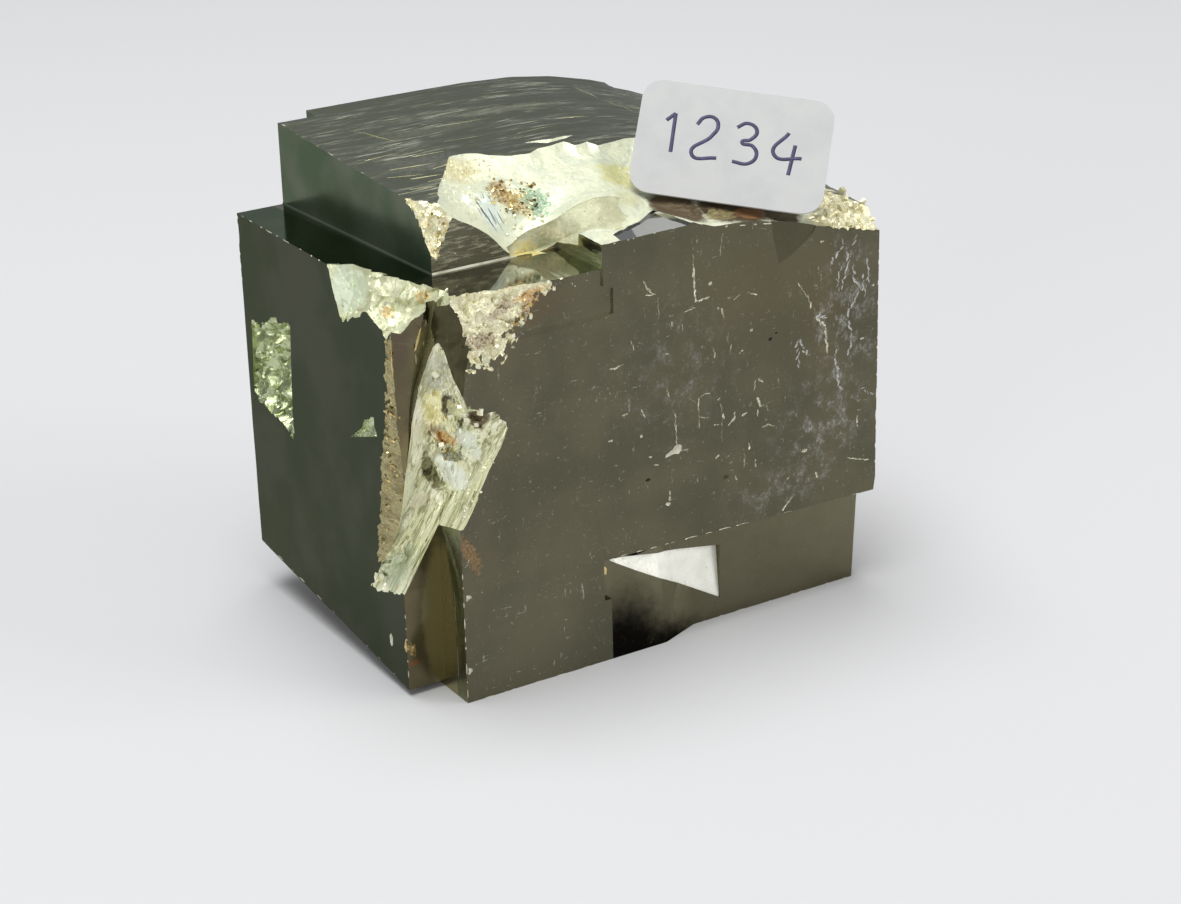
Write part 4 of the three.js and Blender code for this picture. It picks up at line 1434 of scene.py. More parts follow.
@dataclass
class CornerBreaks:
    """The breaks round the front left corner: the scar, the edge over it and the slab's corner."""

    scar_relief: Relief = Relief(
        1.4, 0.3, 0.8, 0.35, 0.3, 0.1, stretch=(1, 1, 0.16), turn=-31.7, seed=9,
        patches=(
            RoughPatch((0.8, 3.6, 28), 4.4, Relief(chip=1.6, chip_depth=1.2, grain=0.5, grain_depth=0.3)),
            RoughPatch((-2, 5, 24), 4.4, Relief(chip=1.8, chip_depth=0.9, seed=5)),
            RoughPatch((0.2, 5.6, 22.6), 1.8, Relief(chip=0.8, chip_depth=0.6), 0.7),
            RoughPatch((2.7, 1.1, 29.6), 1.3, Relief(), 1.1),
            RoughPatch((1.1, 3.2, 30), 1.1, Relief(), 1),
        ),
    )
    edge_relief: Relief = Relief(1.5, 0.2, 0.9, 0.5, 0.3, 0.15, seed=2)
    slab_relief: Relief = Relief(2, 0.15, 1.5, 0.5, 0.4, 0.06, seed=6)
    notch_relief: Relief = Relief(3, 0.15, 1.2, 0.1, seed=15)
    strip_relief: Relief = Relief(2, 0.12, 0.9, 0.16, 0.3, 0.08, seed=12)

    def scar(self) -> Net:
        """Cut the flat striated side round the corner, and the rough hollow over it."""
        rows = [
            [(5.6, -0.3, 27.2), (3.2, -0.3, 23.4), (0.4, -0.3, 18.7), (0, 2.2, 18.2), (0, 4.5, 17.6),
             (-2, 4.6, 14.3), (-4.3, 4.6, 10.7), (-4.3, 8, 9.8), (-4.3, 11.8, 8.7)],
            [(5.6, 0.2, 28), (4.1, 1.9, 25), (2.4, 3.8, 21.6), (1.2, 5.6, 19.3), (0, 6.5, 17.2),
             (-1.6, 7.2, 14.4), (-3.1, 8.9, 11.6), (-4.3, 11.7, 9.1)],
            [(5.4, 0.1, 28.9), (2.9, 1.6, 28.6), (1.7, 3.1, 29), (0.9, 4.7, 27.2), (-0.4, 6, 24.4),
             (-2.2, 6.4, 20), (-3.4, 7.6, 15.2), (-4.3, 10.8, 11)],
            [(5.2, -0.3, 29.7), (1.3, -0.3, 31.6), (0.9, 1.6, 33.4), (0.15, 3.25, 36.9), (-2, 4.15, 31.6),
             (-3.1, 4.35, 25.5), (-4.3, 4.6, 19), (-4.3, 9.4, 13)],
        ]
        return Net(
            [*lines(rows[:1]), *lines(rows[1:], True)], (-8, -9, 1.5), SCAR, 150, 80, self.scar_relief.depth,
            calm=0.04,
        )

    def edge(self) -> Net:
        """Cut the rough break along the front face's upper left edge."""
        rows = [
            [(-1, -0.2, 35.5), (1.2, -0.15, 33.9), (3.8, -0.15, 33), (5.6, -0.15, 34.6), (8.3, -0.15, 37.2),
             (10, -0.2, 39.2), (14, -0.4, 41)],
            [(-1, 0.4, 38.4), (1.2, 0.6, 37.8), (3.8, 0.7, 37.4), (5.8, 0.6, 38), (8.4, 0.5, 39.3),
             (10.5, 0.2, 40.4), (14, -0.2, 41.6)],
            [(-1, 3.5, 42.2), (1.4, 2, 41.9), (4, 1.4, 41.9), (6, 1.1, 41.9), (8.9, 0.8, 41.9),
             (11, 0.4, 41.9), (14, -0.1, 42.1)],
        ]
        return Net(lines(rows), (0, -6, 5), GLITTER, 90, 56, self.edge_relief.depth)

    def slab_corner(self) -> Net:
        """Cut the slab's broken upper front corner."""
        rows = [
            [(-4.3, 17, 41.3), (-4.3, 14.5, 35.8), (-4.3, 8.7, 39), (-4.3, 5.6, 37.2), (-2.6, 3.9, 38.4),
             (-0.6, 3.2, 40.2), (0.9, 1, 40.9)],
            [(-4.1, 17.1, 41.5), (-2.6, 14.6, 38.7), (-2.5, 10.6, 39.9), (-2, 7.6, 39.3), (-1, 6, 39.9),
             (0.1, 4.9, 40.7), (1.2, 2.3, 41.2)],
            [(-3.9, 17.2, 41.8), (-1.8, 15.9, 41.8), (-1.3, 12.4, 41.8), (-0.4, 9.6, 41.8), (0.2, 7.8, 41.8),
             (0.7, 6.3, 41.8), (1.6, 3.5, 41.8)],
        ]
        return Net(lines(rows), (-4, -3, 7), SLAB_BREAK, 110, 40, self.slab_relief.depth)

    def slab_strip(self) -> Net:
        """Cut the granular strip down the slab's front edge."""
        rows = [
            [(-4.25, 6, 38.6), (-4.25, 6.9, 32.5), (-4.25, 8, 26.5), (-4.25, 9.7, 19.8), (-4.25, 10.9, 12)],
            [(-4.05, 5.4, 38.6), (-3.98, 5.8, 32.5), (-3.9, 6.4, 26.5), (-3.75, 7.2, 20), (-3.8, 8.4, 13.6)],
            [(-3.85, 4, 38.8), (-3.8, 4, 32.5), (-3.55, 4, 26.5), (-3.2, 4.2, 20), (-3.2, 4.5, 15.6)],
        ]
        return Net(lines(rows), (-4, -4, 0), GOLDEN, 140, 20, self.strip_relief.depth)

    def notch(self) -> Net:
        """Cut the dark notch between the slab's front and the main cube."""
        rows = [
            [(-0.5, 3.38, 41.2), (0.02, 3.6, 41.2)],
            [(-1.8, 3.88, 37), (0.02, 4.9, 37)],
            [(-2.3, 4.05, 34), (-0.9, 5, 34)],
            [(-2.75, 4.23, 31.6), (-1.9, 4.95, 31.6)],
            [(-3, 4.35, 28), (-2.5, 4.8, 28)],
            [(-3.2, 4.42, 24), (-3.1, 4.6, 24)],
        ]
        return Net(lines(rows), (0, -8, 0), NOTCH, 12, 50, self.notch_relief.depth)

    def corner_facet(self) -> Net:
        """Cut the dark facet across the main cube's corner, right of the notch."""
        rows = [
            [(-0.4, 3.9, 41.4), (1.5, 0.8, 41.4)],
            [(-0.1, 4.4, 38.2), (2.1, -0.3, 38.2)],
            [(0, 3.3, 36.4), (1.95, -0.3, 36.4)],
            [(0.7, 2, 34), (1.5, -0.3, 34)],
            [(0.9, 0.6, 32.2), (1.1, -0.3, 32.2)],
        ]
        return Net(lines(rows), (-8, -6, 0), CORNER, 12, 40, self.notch_relief.depth)

    def cutters(self) -> list[Net]:
        """List the breaks."""
        return [self.notch(), self.corner_facet(), self.scar(), self.edge(), self.slab_corner(),
                self.slab_strip()]

    def grains(self) -> list[Crumbs]:
        """List the grains that stand up in the breaks."""
        scar, edge, strip, corner = self.scar(), self.edge(), self.slab_strip(), self.slab_corner()
        return [
            Crumbs(scar, (0.1, 0.5), (0.6, 0.9), 36, (0.3, 0.7), CREAM_GRAIN, 3),
            Crumbs(scar, (0.3, 0.42), (0.5, 0.75), 16, (0.2, 0.5), GOLD_GRAIN, 4),
            Crumbs(scar, (0.1, 0.3), (0.05, 0.3), 30, (0.12, 0.35), CREAM_GRAIN, 5),
            Crumbs(edge, (0.25, 0.7), (0.14, 0.35), 40, (0.3, 0.8), CREAM_GRAIN, 6),
            Crumbs(edge, (0.2, 0.9), (0.3, 0.9), 40, (0.25, 0.6), CREAM_GRAIN, 7),
            Crumbs(edge, (0.55, 0.75), (0.2, 0.7), 24, (0.2, 0.5), GOLD_GRAIN, 12),
            Crumbs(strip, (0.05, 0.9), (0.36, 0.5), 24, (0.12, 0.3), GOLD_GRAIN, 8),
            Crumbs(strip, (0.5, 0.9), (0.36, 0.8), 12, (0.12, 0.26), GOLD_GRAIN, 13),
            Crumbs(strip, (0.3, 0.9), (0.36, 0.8), 12, (0.15, 0.35), DARK_GRAIN, 9),
            Crumbs(corner, (0.3, 1), (0.2, 0.9), 30, (0.2, 0.5), CREAM_GRAIN, 11),
        ]


@dataclass
class FacePits:
    """The pocket and the small pit in the slab's left face, and the bright recess under the cube."""

    recess_right: float = 31.3
    pocket_relief: Relief = Relief(1.5, 0.8, 1.1, 0.6, 0.35, 0.05, seed=7)
    pit_relief: Relief = Relief(1, 0.1, 0.5, 0.15, seed=8)

    def pocket(self) -> Net:
        """Cut the deep pocket with crumpled walls.

        Returns:
            The cutter.
        """
        def front(x: float, z: float) -> Point:
            """Give a point of its straight front edge."""
            return (x, 26.4 + (33 - z) * 0.09, z)
        rows = [
            [front(-4.3, 33), (-4.3, 30, 32.4), (-4.3, 33, 31.4), (-4.3, 35.8, 30.4)],
            [front(-2.4, 31.5), (-2.1, 30, 30.5), (-2.5, 33, 29.5), (-3.7, 35.9, 28.5)],
            [front(-2.6, 28.6), (-1.6, 30.2, 28), (-2.8, 33.1, 27.4), (-3.4, 36, 26.8)],
            [front(-2, 26), (-2.4, 30, 25.6), (-1.9, 33.2, 25), (-3.6, 36.2, 24.8)],
            [front(-2.3, 22.9), (-2.2, 30.2, 22.4), (-2.9, 33.4, 21.9), (-3.9, 36.4, 22.2)],
            [front(-4.3, 19.8), (-4.3, 30.5, 20.5), (-4.3, 33.8, 21.1), (-4.3, 36.8, 21.6)],
        ]
        return Net(lines(rows), (-4, 0, 0), POCKET, 60, 70, self.pocket_relief.depth)

    def pocket_foot(self) -> Net:
        """Cut the smooth three-cornered facet at the pocket's foot."""
        rows = [
            [(-3.3, 27.3, 23.6), (-3.3, 33, 23.2)],
            [(-4.3, 27.3, 19.4), (-4.3, 33.2, 22.8)],
        ]
        return Net(lines(rows), (-3, 0, 2), PALE_FACET, 8, 8)

    def pit(self) -> Net:
        """Cut the small three-cornered pit."""
        rows = [
            [(-4.3, 10.7, 28), (-4.3, 9, 28.9)],
            [(-3.6, 11.6, 26.4), (-3.6, 9, 27.4)],
            [(-4, 14.3, 24.5), (-4, 8.4, 26.5)],
        ]
        return Net(lines(rows), (-3, 0, 0), POCKET, 24, 24, self.pit_relief.depth)

    def recess(self) -> Net:
        """Cut the shallow three-cornered recess with its steep bright floor."""
        rows = [
            [(17.7, 1.8, 10.1), (20.9, 1.52, 8.2), (23.4, 1.32, 6.8), (24.3, 1.6, 6.3), (25.2, 1.9, 5.75),
             (26, 2.15, 5.3), (self.recess_right, 2.15, 2.2)],
            [(17.7, 2, 10.4), (20.9, 2.1, 9.9), (23.4, 2.2, 9.5), (24.3, 2.35, 9.3), (25.2, 2.45, 9.2),
             (26, 2.55, 9.1), (self.recess_right, 2.75, 8.2)],
        ]
        return Net(lines(rows), (0, -3, 0), SHEEN, 24, 12)


@dataclass
class UpperEdge:
    """The broken upper front edge of the upper block, at the left."""

    relief: Relief = Relief(1.5, 0.1, 0.7, 0.35, seed=14)

    def cutter(self) -> Net:
        """Cut the edge."""
        rows = [
            [(2.2, 13.6, 48.5), (2.3, 11, 47), (2.4, 9.3, 44.8), (2.4, 8.5, 43.6), (2.4, 7.9, 42.2)],
            [(3.1, 12, 48), (3.6, 9.8, 46.8), (3.9, 8.7, 45), (3.3, 8.4, 43.7), (3, 8.1, 42.3)],
            [(4, 13.2, 48.7), (4.8, 10.5, 48.6), (5.6, 7.8, 47.2), (4.1, 7.9, 44.6), (3.6, 7.8, 42.3)],
        ]
        return Net(lines(rows), (-4, -5, 4), GRANULAR, 60, 30, self.relief.depth)


@dataclass
class HiddenSides:
    """Steps and scars that show only from the right or from behind."""

    width: float = 49.9
    relief: Relief = Relief(3, 0.25, 1, 0.2, 0.4, 0.05, seed=17)

    def steps(self) -> list[Hewn]:
        """Cut the stepped corners."""
        beyond = self.width + 2
        return [
            Hewn([(49.4, -1, 9.5), (beyond, -1, 9.5), (beyond, 3, 9.5), (49.8, 3, 9.5)],
                 [(49.9, -1, 12.6), (beyond, -1, 12.6), (beyond, 3, 12.6), (50.3, 3, 12.6)], BREAK),
            block((48.7, beyond), (13.5, 45), (26, 60), FACE),
            block((47.2, beyond), (24.5, 45), (-1, 17.5), FACE),
            block((41.5, beyond), (35.2, 45), (-1, 31), FACE),
        ]

    def right_scar(self) -> Net:
        """Cut the scar in the right side."""
        rows = [
            [(50.2, 5, 30.5), (50.2, 8.5, 33), (48.6, 14, 33.5), (48.4, 19.5, 31)],
            [(50.1, 6, 26.5), (48.6, 9, 27.2), (47, 14, 28), (48, 19, 27.5)],
            [(50.1, 8, 22.5), (49, 11, 21.8), (48.3, 14, 22), (50.2, 18, 23.5)],
        ]
        return Net(lines(rows), (6, 0, 0), BREAK, 60, 50, self.relief.depth)

    def back_scar(self) -> Net:
        """Cut the scar in the back's upper edge."""
        rows = [
            [(31, 38.7, 44.5), (36, 37.6, 47), (41.5, 37.6, 46), (47, 37.6, 43.5)],
            [(31.4, 38, 40.5), (36, 35.6, 42), (41.5, 35, 41), (46.5, 36.2, 38.5)],
            [(33, 38.8, 36.5), (37, 38, 35.5), (41, 37.6, 34.5), (45, 37.6, 33.5)],
        ]
        return Net(lines(rows), (0, 6, 0), BREAK, 60, 50, self.relief.depth)

    def cutters(self) -> list[object]:
        """List the steps and scars."""
        return [*self.steps(), self.right_scar(), self.back_scar()]


@dataclass
class Skins:
    """The slight relief of the grown faces: a low step across the front, waves and ripples."""

    step_line: tuple[Span, ...] = (
        (46, 16.6), (39.9, 16.6), (39.5, 17.7), (37, 17.7), (36.6, 16.9), (30, 16.2), (22, 14.6),
        (20.9, 14.5), (15, 15.6), (11.4, 16.3), (11, 17.5), (-1, 17.5),
    )
    left_sunk: float = 0.15
    jog_sunk: float = 0.3
    jog_foot: float = 36.8
    right_sunk: float = 0.06
    front_cells: tuple[int, int] = (120, 118)
    slab_face: float = -4.05
    front_relief: Relief = Relief(5, 0.05, 1.6, 0.012, stretch=(1, 1, 0.6), seed=3)
    left_relief: Relief = Relief(6, 0.05, 2.4, 0.01, stretch=(1, 0.7, 1), seed=11)

    def front(self) -> Net:
        """Cut the front face's skin, lower at the left of the step line.

        Returns:
            The cutter.
        """
        across, down = self.front_cells
        top, bottom = self.step_line[0][0], self.step_line[-1][0]
        before = 40 / across
        rows = []
        for z, x in self.step_line:
            sunk = self.jog_sunk if self.jog_foot < z < 40 else self.left_sunk
            points = ((-1, sunk, z), (x - 0.06, sunk, z), (x + 0.06, self.right_sunk, z),
                      (51, self.right_sunk, z))
            rows.append(Line(points, (0, before, before + 1 / across, 1)))
        places = tuple(round((top - z) / (top - bottom) * down) / down for z, _ in self.step_line)
        return Net(rows, (0, -3, 0), FRONT, across, down, self.front_relief.depth, places)

    def left(self) -> Net:
        """Cut the slab's left face's skin."""
        rows = [[(self.slab_face, y, z) for y in (2, 39)] for z in (43, -1)]
        return Net(lines(rows), (-3, 0, 0), LEFT, 60, 60, self.left_relief.depth)

    def dark_facet(self) -> Net:
        """Cut the shallow darker facet under the label."""
        rows = [
            [(36.3, 0.3, 43.4), (42.9, 0.14, 42.6)],
            [(36.6, 0.22, 41), (41.4, 0.1, 40.4)],
            [(37.3, 0.06, 38), (37.8, 0.04, 38)],
        ]
        return Net(lines(rows), (0, -3, 0), SHADE, 12, 12)

    def cutters(self) -> list[Net]:
        """List the skins."""
        return [self.front(), self.left(), self.dark_facet()]


@dataclass
class Wear:
    """Small marks on the front face, and small chips along the sharp edges."""

    marks: tuple[Mark, ...] = (
        (26.9, 43.1, 27.1, 39.7, 0.09), (27.1, 39.7, 27.3, 36.1, 0.27), (27.3, 36.1, 28.9, 36.3, 0.15),
        (26.1, 35.4, 27.3, 35.5, 0.12), (30.5, 42.5, 30.2, 40.3, 0.09), (28.8, 37.6, 29.3, 37.7, 0.36),
        (21.2, 39.5, 21.7, 38.6, 0.15), (21.7, 38.6, 22.5, 37.8, 0.14), (21.5, 38, 22.7, 37.8, 0.12),
        (22.9, 37.5, 23, 35.3, 0.09), (31.9, 35.4, 32.6, 35.8, 0.12), (33.5, 35.8, 34.7, 35.3, 0.12),
        (29.9, 35, 30, 34.7, 0.18), (30.4, 34.8, 30.7, 33.7, 0.18), (24.5, 34.6, 24.4, 33.8, 0.15),
        (25.7, 34.2, 25.8, 33.5, 0.15), (33.8, 31.7, 34.1, 31.8, 0.24), (29.4, 30.8, 29.5, 29.8, 0.15),
        (31.5, 30.7, 31.3, 29.8, 0.12), (32.5, 29.6, 32.9, 29.8, 0.15), (34.5, 26.3, 34.3, 25.3, 0.18),
        (34.9, 26.3, 35.3, 25.9, 0.18), (34.7, 24.4, 35, 23.3, 0.24), (35, 23.3, 35.6, 23.3, 0.15),
        (35.9, 23.3, 36, 22.6, 0.15), (35.6, 23.5, 36.7, 23.6, 0.09), (34.7, 23, 34.7, 22.3, 0.18),
        (31.9, 23.4, 31.9, 22.8, 0.27), (31.9, 22.8, 31.1, 22.1, 0.21), (32.8, 22.8, 33.4, 23, 0.21),
        (30.5, 23.6, 30.5, 23, 0.24), (30.4, 23.1, 30.3, 20.6, 0.09), (27.8, 23.8, 28.8, 23.6, 0.12),
        (29.4, 22.6, 29.9, 22.5, 0.15), (35.3, 21, 36, 21.1, 0.15), (36, 21.1, 36.9, 20.7, 0.15),
        (27.5, 26, 27.6, 22.8, 0.12), (26.5, 26.1, 27.2, 25.5, 0.09), (27.8, 26, 28.9, 26.2, 0.12),
        (24.7, 24.9, 24.9, 21.5, 0.12), (25.4, 20.8, 26.3, 20.7, 0.12), (24, 16.8, 23.9, 15.7, 0.18),
        (23.4, 15.5, 24.1, 15.3, 0.36), (23.9, 15.7, 24.5, 15.8, 0.12), (30, 19.2, 29.6, 18.9, 0.21),
        (33.1, 18.6, 33, 17.1, 0.15), (34.5, 17.7, 34.4, 16.8, 0.15), (33.7, 19.6, 33.7, 18.9, 0.18),
        (40.2, 17.1, 41.1, 17.1, 0.36), (47.4, 19.4, 47.5, 18.1, 0.24), (46.2, 14.9, 49, 14.1, 0.12),
        (41, 34, 41.3, 32.6, 0.18), (42, 31.4, 43.2, 30.2, 0.24), (43.2, 30.2, 43.4, 27.3, 0.21),
        (39.7, 35.5, 40.8, 33.9, 0.12), (20.5, 23.5, 20.9, 23.4, 0.36), (16.9, 23.8, 17.3, 23.8, 0.24),
        (21.5, 21, 21.8, 20.9, 0.24), (22.2, 20, 22.7, 19.9, 0.15), (23.7, 31.5, 24, 31.4, 0.24),
        (19.7, 33.7, 20, 32.7, 0.15), (18.5, 26.1, 19.2, 26.2, 0.15), (20.7, 26.3, 21.2, 25.3, 0.15),
        (23.7, 28, 24.1, 26.9, 0.12), (17.3, 31.2, 18.8, 31.4, 0.15), (29.8, 25.2, 30.1, 25.4, 0.15),
        (47.6, 27.8, 48, 27.9, 0.24), (49, 33.3, 49.3, 33.4, 0.21), (42.5, 39.3, 42.8, 39.3, 0.24),
        (42.1, 14.3, 42.3, 13.7, 0.21), (38.5, 14.4, 38.8, 14.7, 0.18), (32, 16.4, 32.2, 15.9, 0.15),
        (23.3, 20.5, 25.6, 21.3, 0.5), (24.3, 20.9, 25.6, 21.2, 1), (37.9, 11.1, 39.2, 12.3, 0.18),
        (14.3, 39.4, 14.7, 39, 0.2), (13.3, 40.9, 13.7, 40.3, 0.2), (14.4, 22.2, 14.6, 20.6, 0.12),
        (0.1, 11.6, 1.1, 11.2, 0.45), (0.2, 10.9, 0.7, 11.4, 0.5), (0.1, 3.8, 0.8, 3.3, 0.4),
        (0.2, 3, 0.5, 3.6, 0.4), (0.6, 16.4, 1.6, 17.4, 0.3), (0.4, 14.6, 1.2, 16, 0.2),
    )
    wisps: tuple[tuple[Span, ...], ...] = (
        ((47, 39.2), (46.6, 38.2)), ((45.3, 39), (44.9, 38), (44.2, 37.4), (43.9, 36.6)),
        ((45.8, 37.6), (46.1, 36.7), (45.7, 35.2), (45.1, 33.8)),
        ((46.5, 35.8), (46.8, 34.7), (47.8, 33.1), (47.9, 34.7)),
        ((47.2, 33), (46.5, 31.8), (45.9, 30.6)), ((46.2, 30.2), (46.6, 28), (46, 26.4)),
        ((44.4, 27.4), (44.6, 25.6), (45.2, 22.8)), ((48, 22.4), (49.4, 21.3)),
        ((39.3, 28.7), (39.8, 29.4), (40.9, 27.6)), ((39.8, 28.6), (39.7, 26.5)),
        ((41.9, 31.5), (43.4, 31.1)), ((42.4, 31.8), (42.5, 30.4)),
        ((45, 36.2), (44.6, 35), (44.9, 33.6)), ((48.3, 36.4), (48.6, 34.6), (48.2, 32.4)),
    )
    mark_depth: float = 0.1
    top_depth: float = 0.3
    left_skin: float = 0.2
    right_skin: float = 0.05
    left_until: float = 14.5
    wisp_width: float = 0.12
    broad: float = 0.35
    mark_step: float = 0.45
    mark_part: float = 0.6
    mark_loose: float = 0.4
    top_part: float = 1.6
    stray: Span = (0.16, 0.1)
    bend: float = 0.7
    reach: Span = (0.55, 0.95)
    swell: Span = (0.5, 1.3)
    chip_runs: tuple[float, ...] = (0.3, 0.5, 0.9, 1.8)
    chip_stretch: float = 4.0
    chip_part: Span = (0.25, 0.55)
    first_gap: Span = (0.1, 1.0)
    chip_gap: Span = (0.2, 1.6)
    shortest: float = 0.05
    top_marks: tuple[Mark, ...] = (
        (35.6, 35.8, 36.5, 31.5, 0.05), (36.5, 31.5, 38.2, 26.9, 0.05), (26.8, 25.3, 31.1, 24.9, 0.05),
        (31.6, 24.9, 34.4, 24.8, 0.04), (4, 20, 10, 19.4, 0.07), (5, 17, 9, 16.6, 0.08),
        (3.5, 14.5, 7, 14, 0.08), (8, 22.4, 12.5, 22.2, 0.05), (6.6, 32, 9.4, 26.6, 0.05),
        (3, 18.4, 7.6, 17.4, 0.06), (6, 15.4, 10.4, 15.9, 0.06), (4.6, 12.6, 7.6, 12.2, 0.07),
        (8.2, 18.2, 12, 18.9, 0.05), (3.2, 23.4, 8.8, 23.9, 0.05), (12.6, 24.4, 18.4, 24, 0.04),
        (14, 28.6, 21, 28.3, 0.04), (20.4, 22.9, 26, 23.2, 0.04), (23, 30.4, 30.4, 29.9, 0.04),
    )
    golden: tuple[tuple[Point, Point, float], ...] = (
        ((-4.1, 7, 29.7), (-3.8, 5.2, 29.65), 0.16), ((-3.85, 5.4, 29.6), (-3.5, 4.4, 29.6), 0.2),
        ((-3.7, 4.5, 29.6), (-3, 4.35, 29.6), 0.2), ((-3.9, 6.2, 26.9), (-3.7, 5.2, 26.8), 0.1),
        ((-3.9, 6.6, 24.2), (-3.7, 5.6, 24.1), 0.1), ((-4, 7.6, 22.4), (-3.8, 6.6, 22.2), 0.14),
        ((-1.2, 3.75, 38.6), (-1.95, 3.95, 36), 0.14), ((-1.95, 3.98, 36), (-2.5, 4.15, 33.4), 0.18),
        ((-2.6, 4.2, 33), (-2.85, 4.3, 30), 0.14), ((-3.9, 4.85, 37.6), (-3.9, 4.85, 33), 0.1),
        ((-3.95, 4.8, 6.4), (-3.95, 4.8, 4.6), 0.35), ((-3.7, 4.7, 5.6), (-3.2, 4.7, 5), 0.25),
        ((16, 0.3, 10.6), (16.3, 0.3, 9.4), 0.34),
    )
    lines: tuple[tuple[Point, Point, float], ...] = (
        ((0.02, 1.95, 12), (0.03, 1.9, 6.4), 0.05), ((0.02, 1.9, 6), (0.03, 1.85, 0.4), 0.05),
        ((1.5, 25.6, 49.3), (1.5, 27.6, 49.5), 0.3), ((1.5, 27.2, 49.5), (1.5, 29.4, 49.6), 0.2),
    )
    edges: tuple[tuple[Point, Point, float, float], ...] = (
        ((-4.08, 37.2, 41.57), (-4.08, 18, 41.57), 1.3, 0.26),
        ((-4.08, 37.35, 41.4), (-4.08, 37.35, 38), 0.1, 0.4),
        ((-4.08, 37.35, 37.6), (-4.08, 37.35, 34), 1, 0.22), ((-4.08, 4.7, 10), (-4.08, 4.7, 2), 1.2, 0.24),
        ((-4.08, 5.5, 0.9), (-4.08, 35, 4.7), 2.2, 0.2), ((0, 0.15, 14.6), (0, 0.15, 0.4), 0.9, 0.2),
        ((0.6, 0.15, 0), (16.4, 0.15, 0), 1.6, 0.18), ((17.9, 0.05, 11.15), (34, 0.05, 10.8), 0.8, 0.26),
        ((35, 0.05, 10.75), (49.2, 0.05, 10.5), 1.8, 0.2), ((49.88, 0.05, 38), (49.88, 0.05, 13.5), 1.1, 0.2),
        ((17.6, 0.05, 43.9), (26, 0.05, 44.2), 1.6, 0.18), ((30.5, 0.05, 43.2), (38, 0.05, 42.2), 0.9, 0.26),
        ((2.4, 11.5, 48.1), (1.4, 36.8, 50.2), 1.2, 0.24), ((28.5, 2, 0), (48, 2, 0), 2, 0.18),
        ((49.88, 12, 45), (49.88, 13.4, 45), 1, 0.2), ((6, 39.35, 49.9), (30, 39.35, 49.9), 1.8, 0.22),
    )
    speck: tuple[Point, Point] = ((-4.08, 8, 4.9), (0.16, 0.4, 0.85))
    seed: int = 12

    def ragged(
        self, start: Vector, end: Vector, width: float, draw: random.Random, loose: float,
    ) -> list[Dent]:
        """Give a mark as a row of short dents that overlap.

        Args:
            start: Where the mark begins.
            end: Where it ends.
            width: Half its width.
            draw: The source of its irregularity.
            loose: How far the dents stray from the straight line, from 0 to 1.

        Returns:
            The dents.
        """
        dents, (across, down) = [], self.stray
        count = max(2, round((end - start).length / self.mark_step))
        step = (end - start) / count
        for index in range(count):
            stray = Vector((draw.uniform(-across, across), 0, draw.uniform(-down, down))) * loose
            middle = start + step * (index + 0.5) + stray
            bend = Matrix.Rotation(draw.uniform(-self.bend, self.bend) * loose, 3, "Y")
            reach = bend @ step * draw.uniform(*self.reach)
            half = width * draw.uniform(*self.swell)
            dents.append(along(middle - reach, middle + reach, half, self.mark_depth))
        return dents

    def scratches(self) -> list[Nicks]:
        """Cut the marks of the front face and of the top.

        Returns:
            The cutters.
        """
        dents = []
        draw = random.Random(self.seed)
        for x_start, z_start, x_end, z_end, width in self.marks:
            skin = self.left_skin if x_start < self.left_until else self.right_skin
            start, end = Vector((x_start, skin, z_start)), Vector((x_end, skin, z_end))
            if width < self.broad:
                dents += self.ragged(start, end, self.mark_part * width, draw, self.mark_loose)
            else:
                dents.append(along(start, end, self.mark_part * width, self.mark_depth))
        top, light = TopFace(), []
        for x_start, y_start, x_end, y_end, width in self.top_marks:
            start, end = Vector(top.on(x_start, y_start)), Vector(top.on(x_end, y_end))
            down = Vector((0, 0, -self.top_depth / 2))
            light.append(along(start + down, end + down, self.top_depth, self.top_part * width))
        for start, end, width in self.lines:
            dents.append(along(Vector(start), Vector(end), width, self.mark_depth))
        middle, half = self.speck
        dents.append((Vector(middle), Vector(half), Matrix.Identity(3)))
        return [*alternate(dents, CHIP), *alternate(light, CREAM_GRAIN)]

    def pale_lines(self) -> list[Nicks]:
        """Cut the pale winding lines at the front face's right.

        Returns:
            The two cutters.
        """
        dents = []
        draw = random.Random(self.seed)
        for wisp in self.wisps:
            for first, last in zip(wisp, wisp[1:]):
                start, end = (Vector((x, self.right_skin, z)) for x, z in (first, last))
                dents += self.ragged(start, end, self.wisp_width, draw, 1)
        return alternate(dents, WISP)

    def golden_lines(self) -> Nicks:
        """Raise the golden lines round the slab's front."""
        return Nicks([along(Vector(start), Vector(end), width, self.mark_depth)
                      for start, end, width in self.golden], GOLD_LINE)

    def chips(self) -> Nicks:
        """Cut chips of mixed lengths along the edges, never two in one place.

        Returns:
            The cutter.
        """
        draw = random.Random(self.seed)
        dents = []
        for start, end, spacing, size in self.edges:
            start, end = Vector(start), Vector(end)
            length, way = (end - start).length, (end - start).normalized()
            place = spacing * draw.uniform(*self.first_gap)
            while place < length:
                run = draw.choice(self.chip_runs) * size * self.chip_stretch
                width = size * draw.uniform(*self.chip_part)
                first = start + way * place
                last = start + way * min(place + run, length)
                if (last - first).length > self.shortest:
                    dents.append(along(first, last, width, size * draw.uniform(*self.chip_part)))
                place += run + spacing * draw.uniform(*self.chip_gap)
        return Nicks(dents, CHIP)

    def cutters(self) -> list[Nicks]:
        """List the marks and the chips."""
        return [*self.scratches(), *self.pale_lines(), self.chips()]


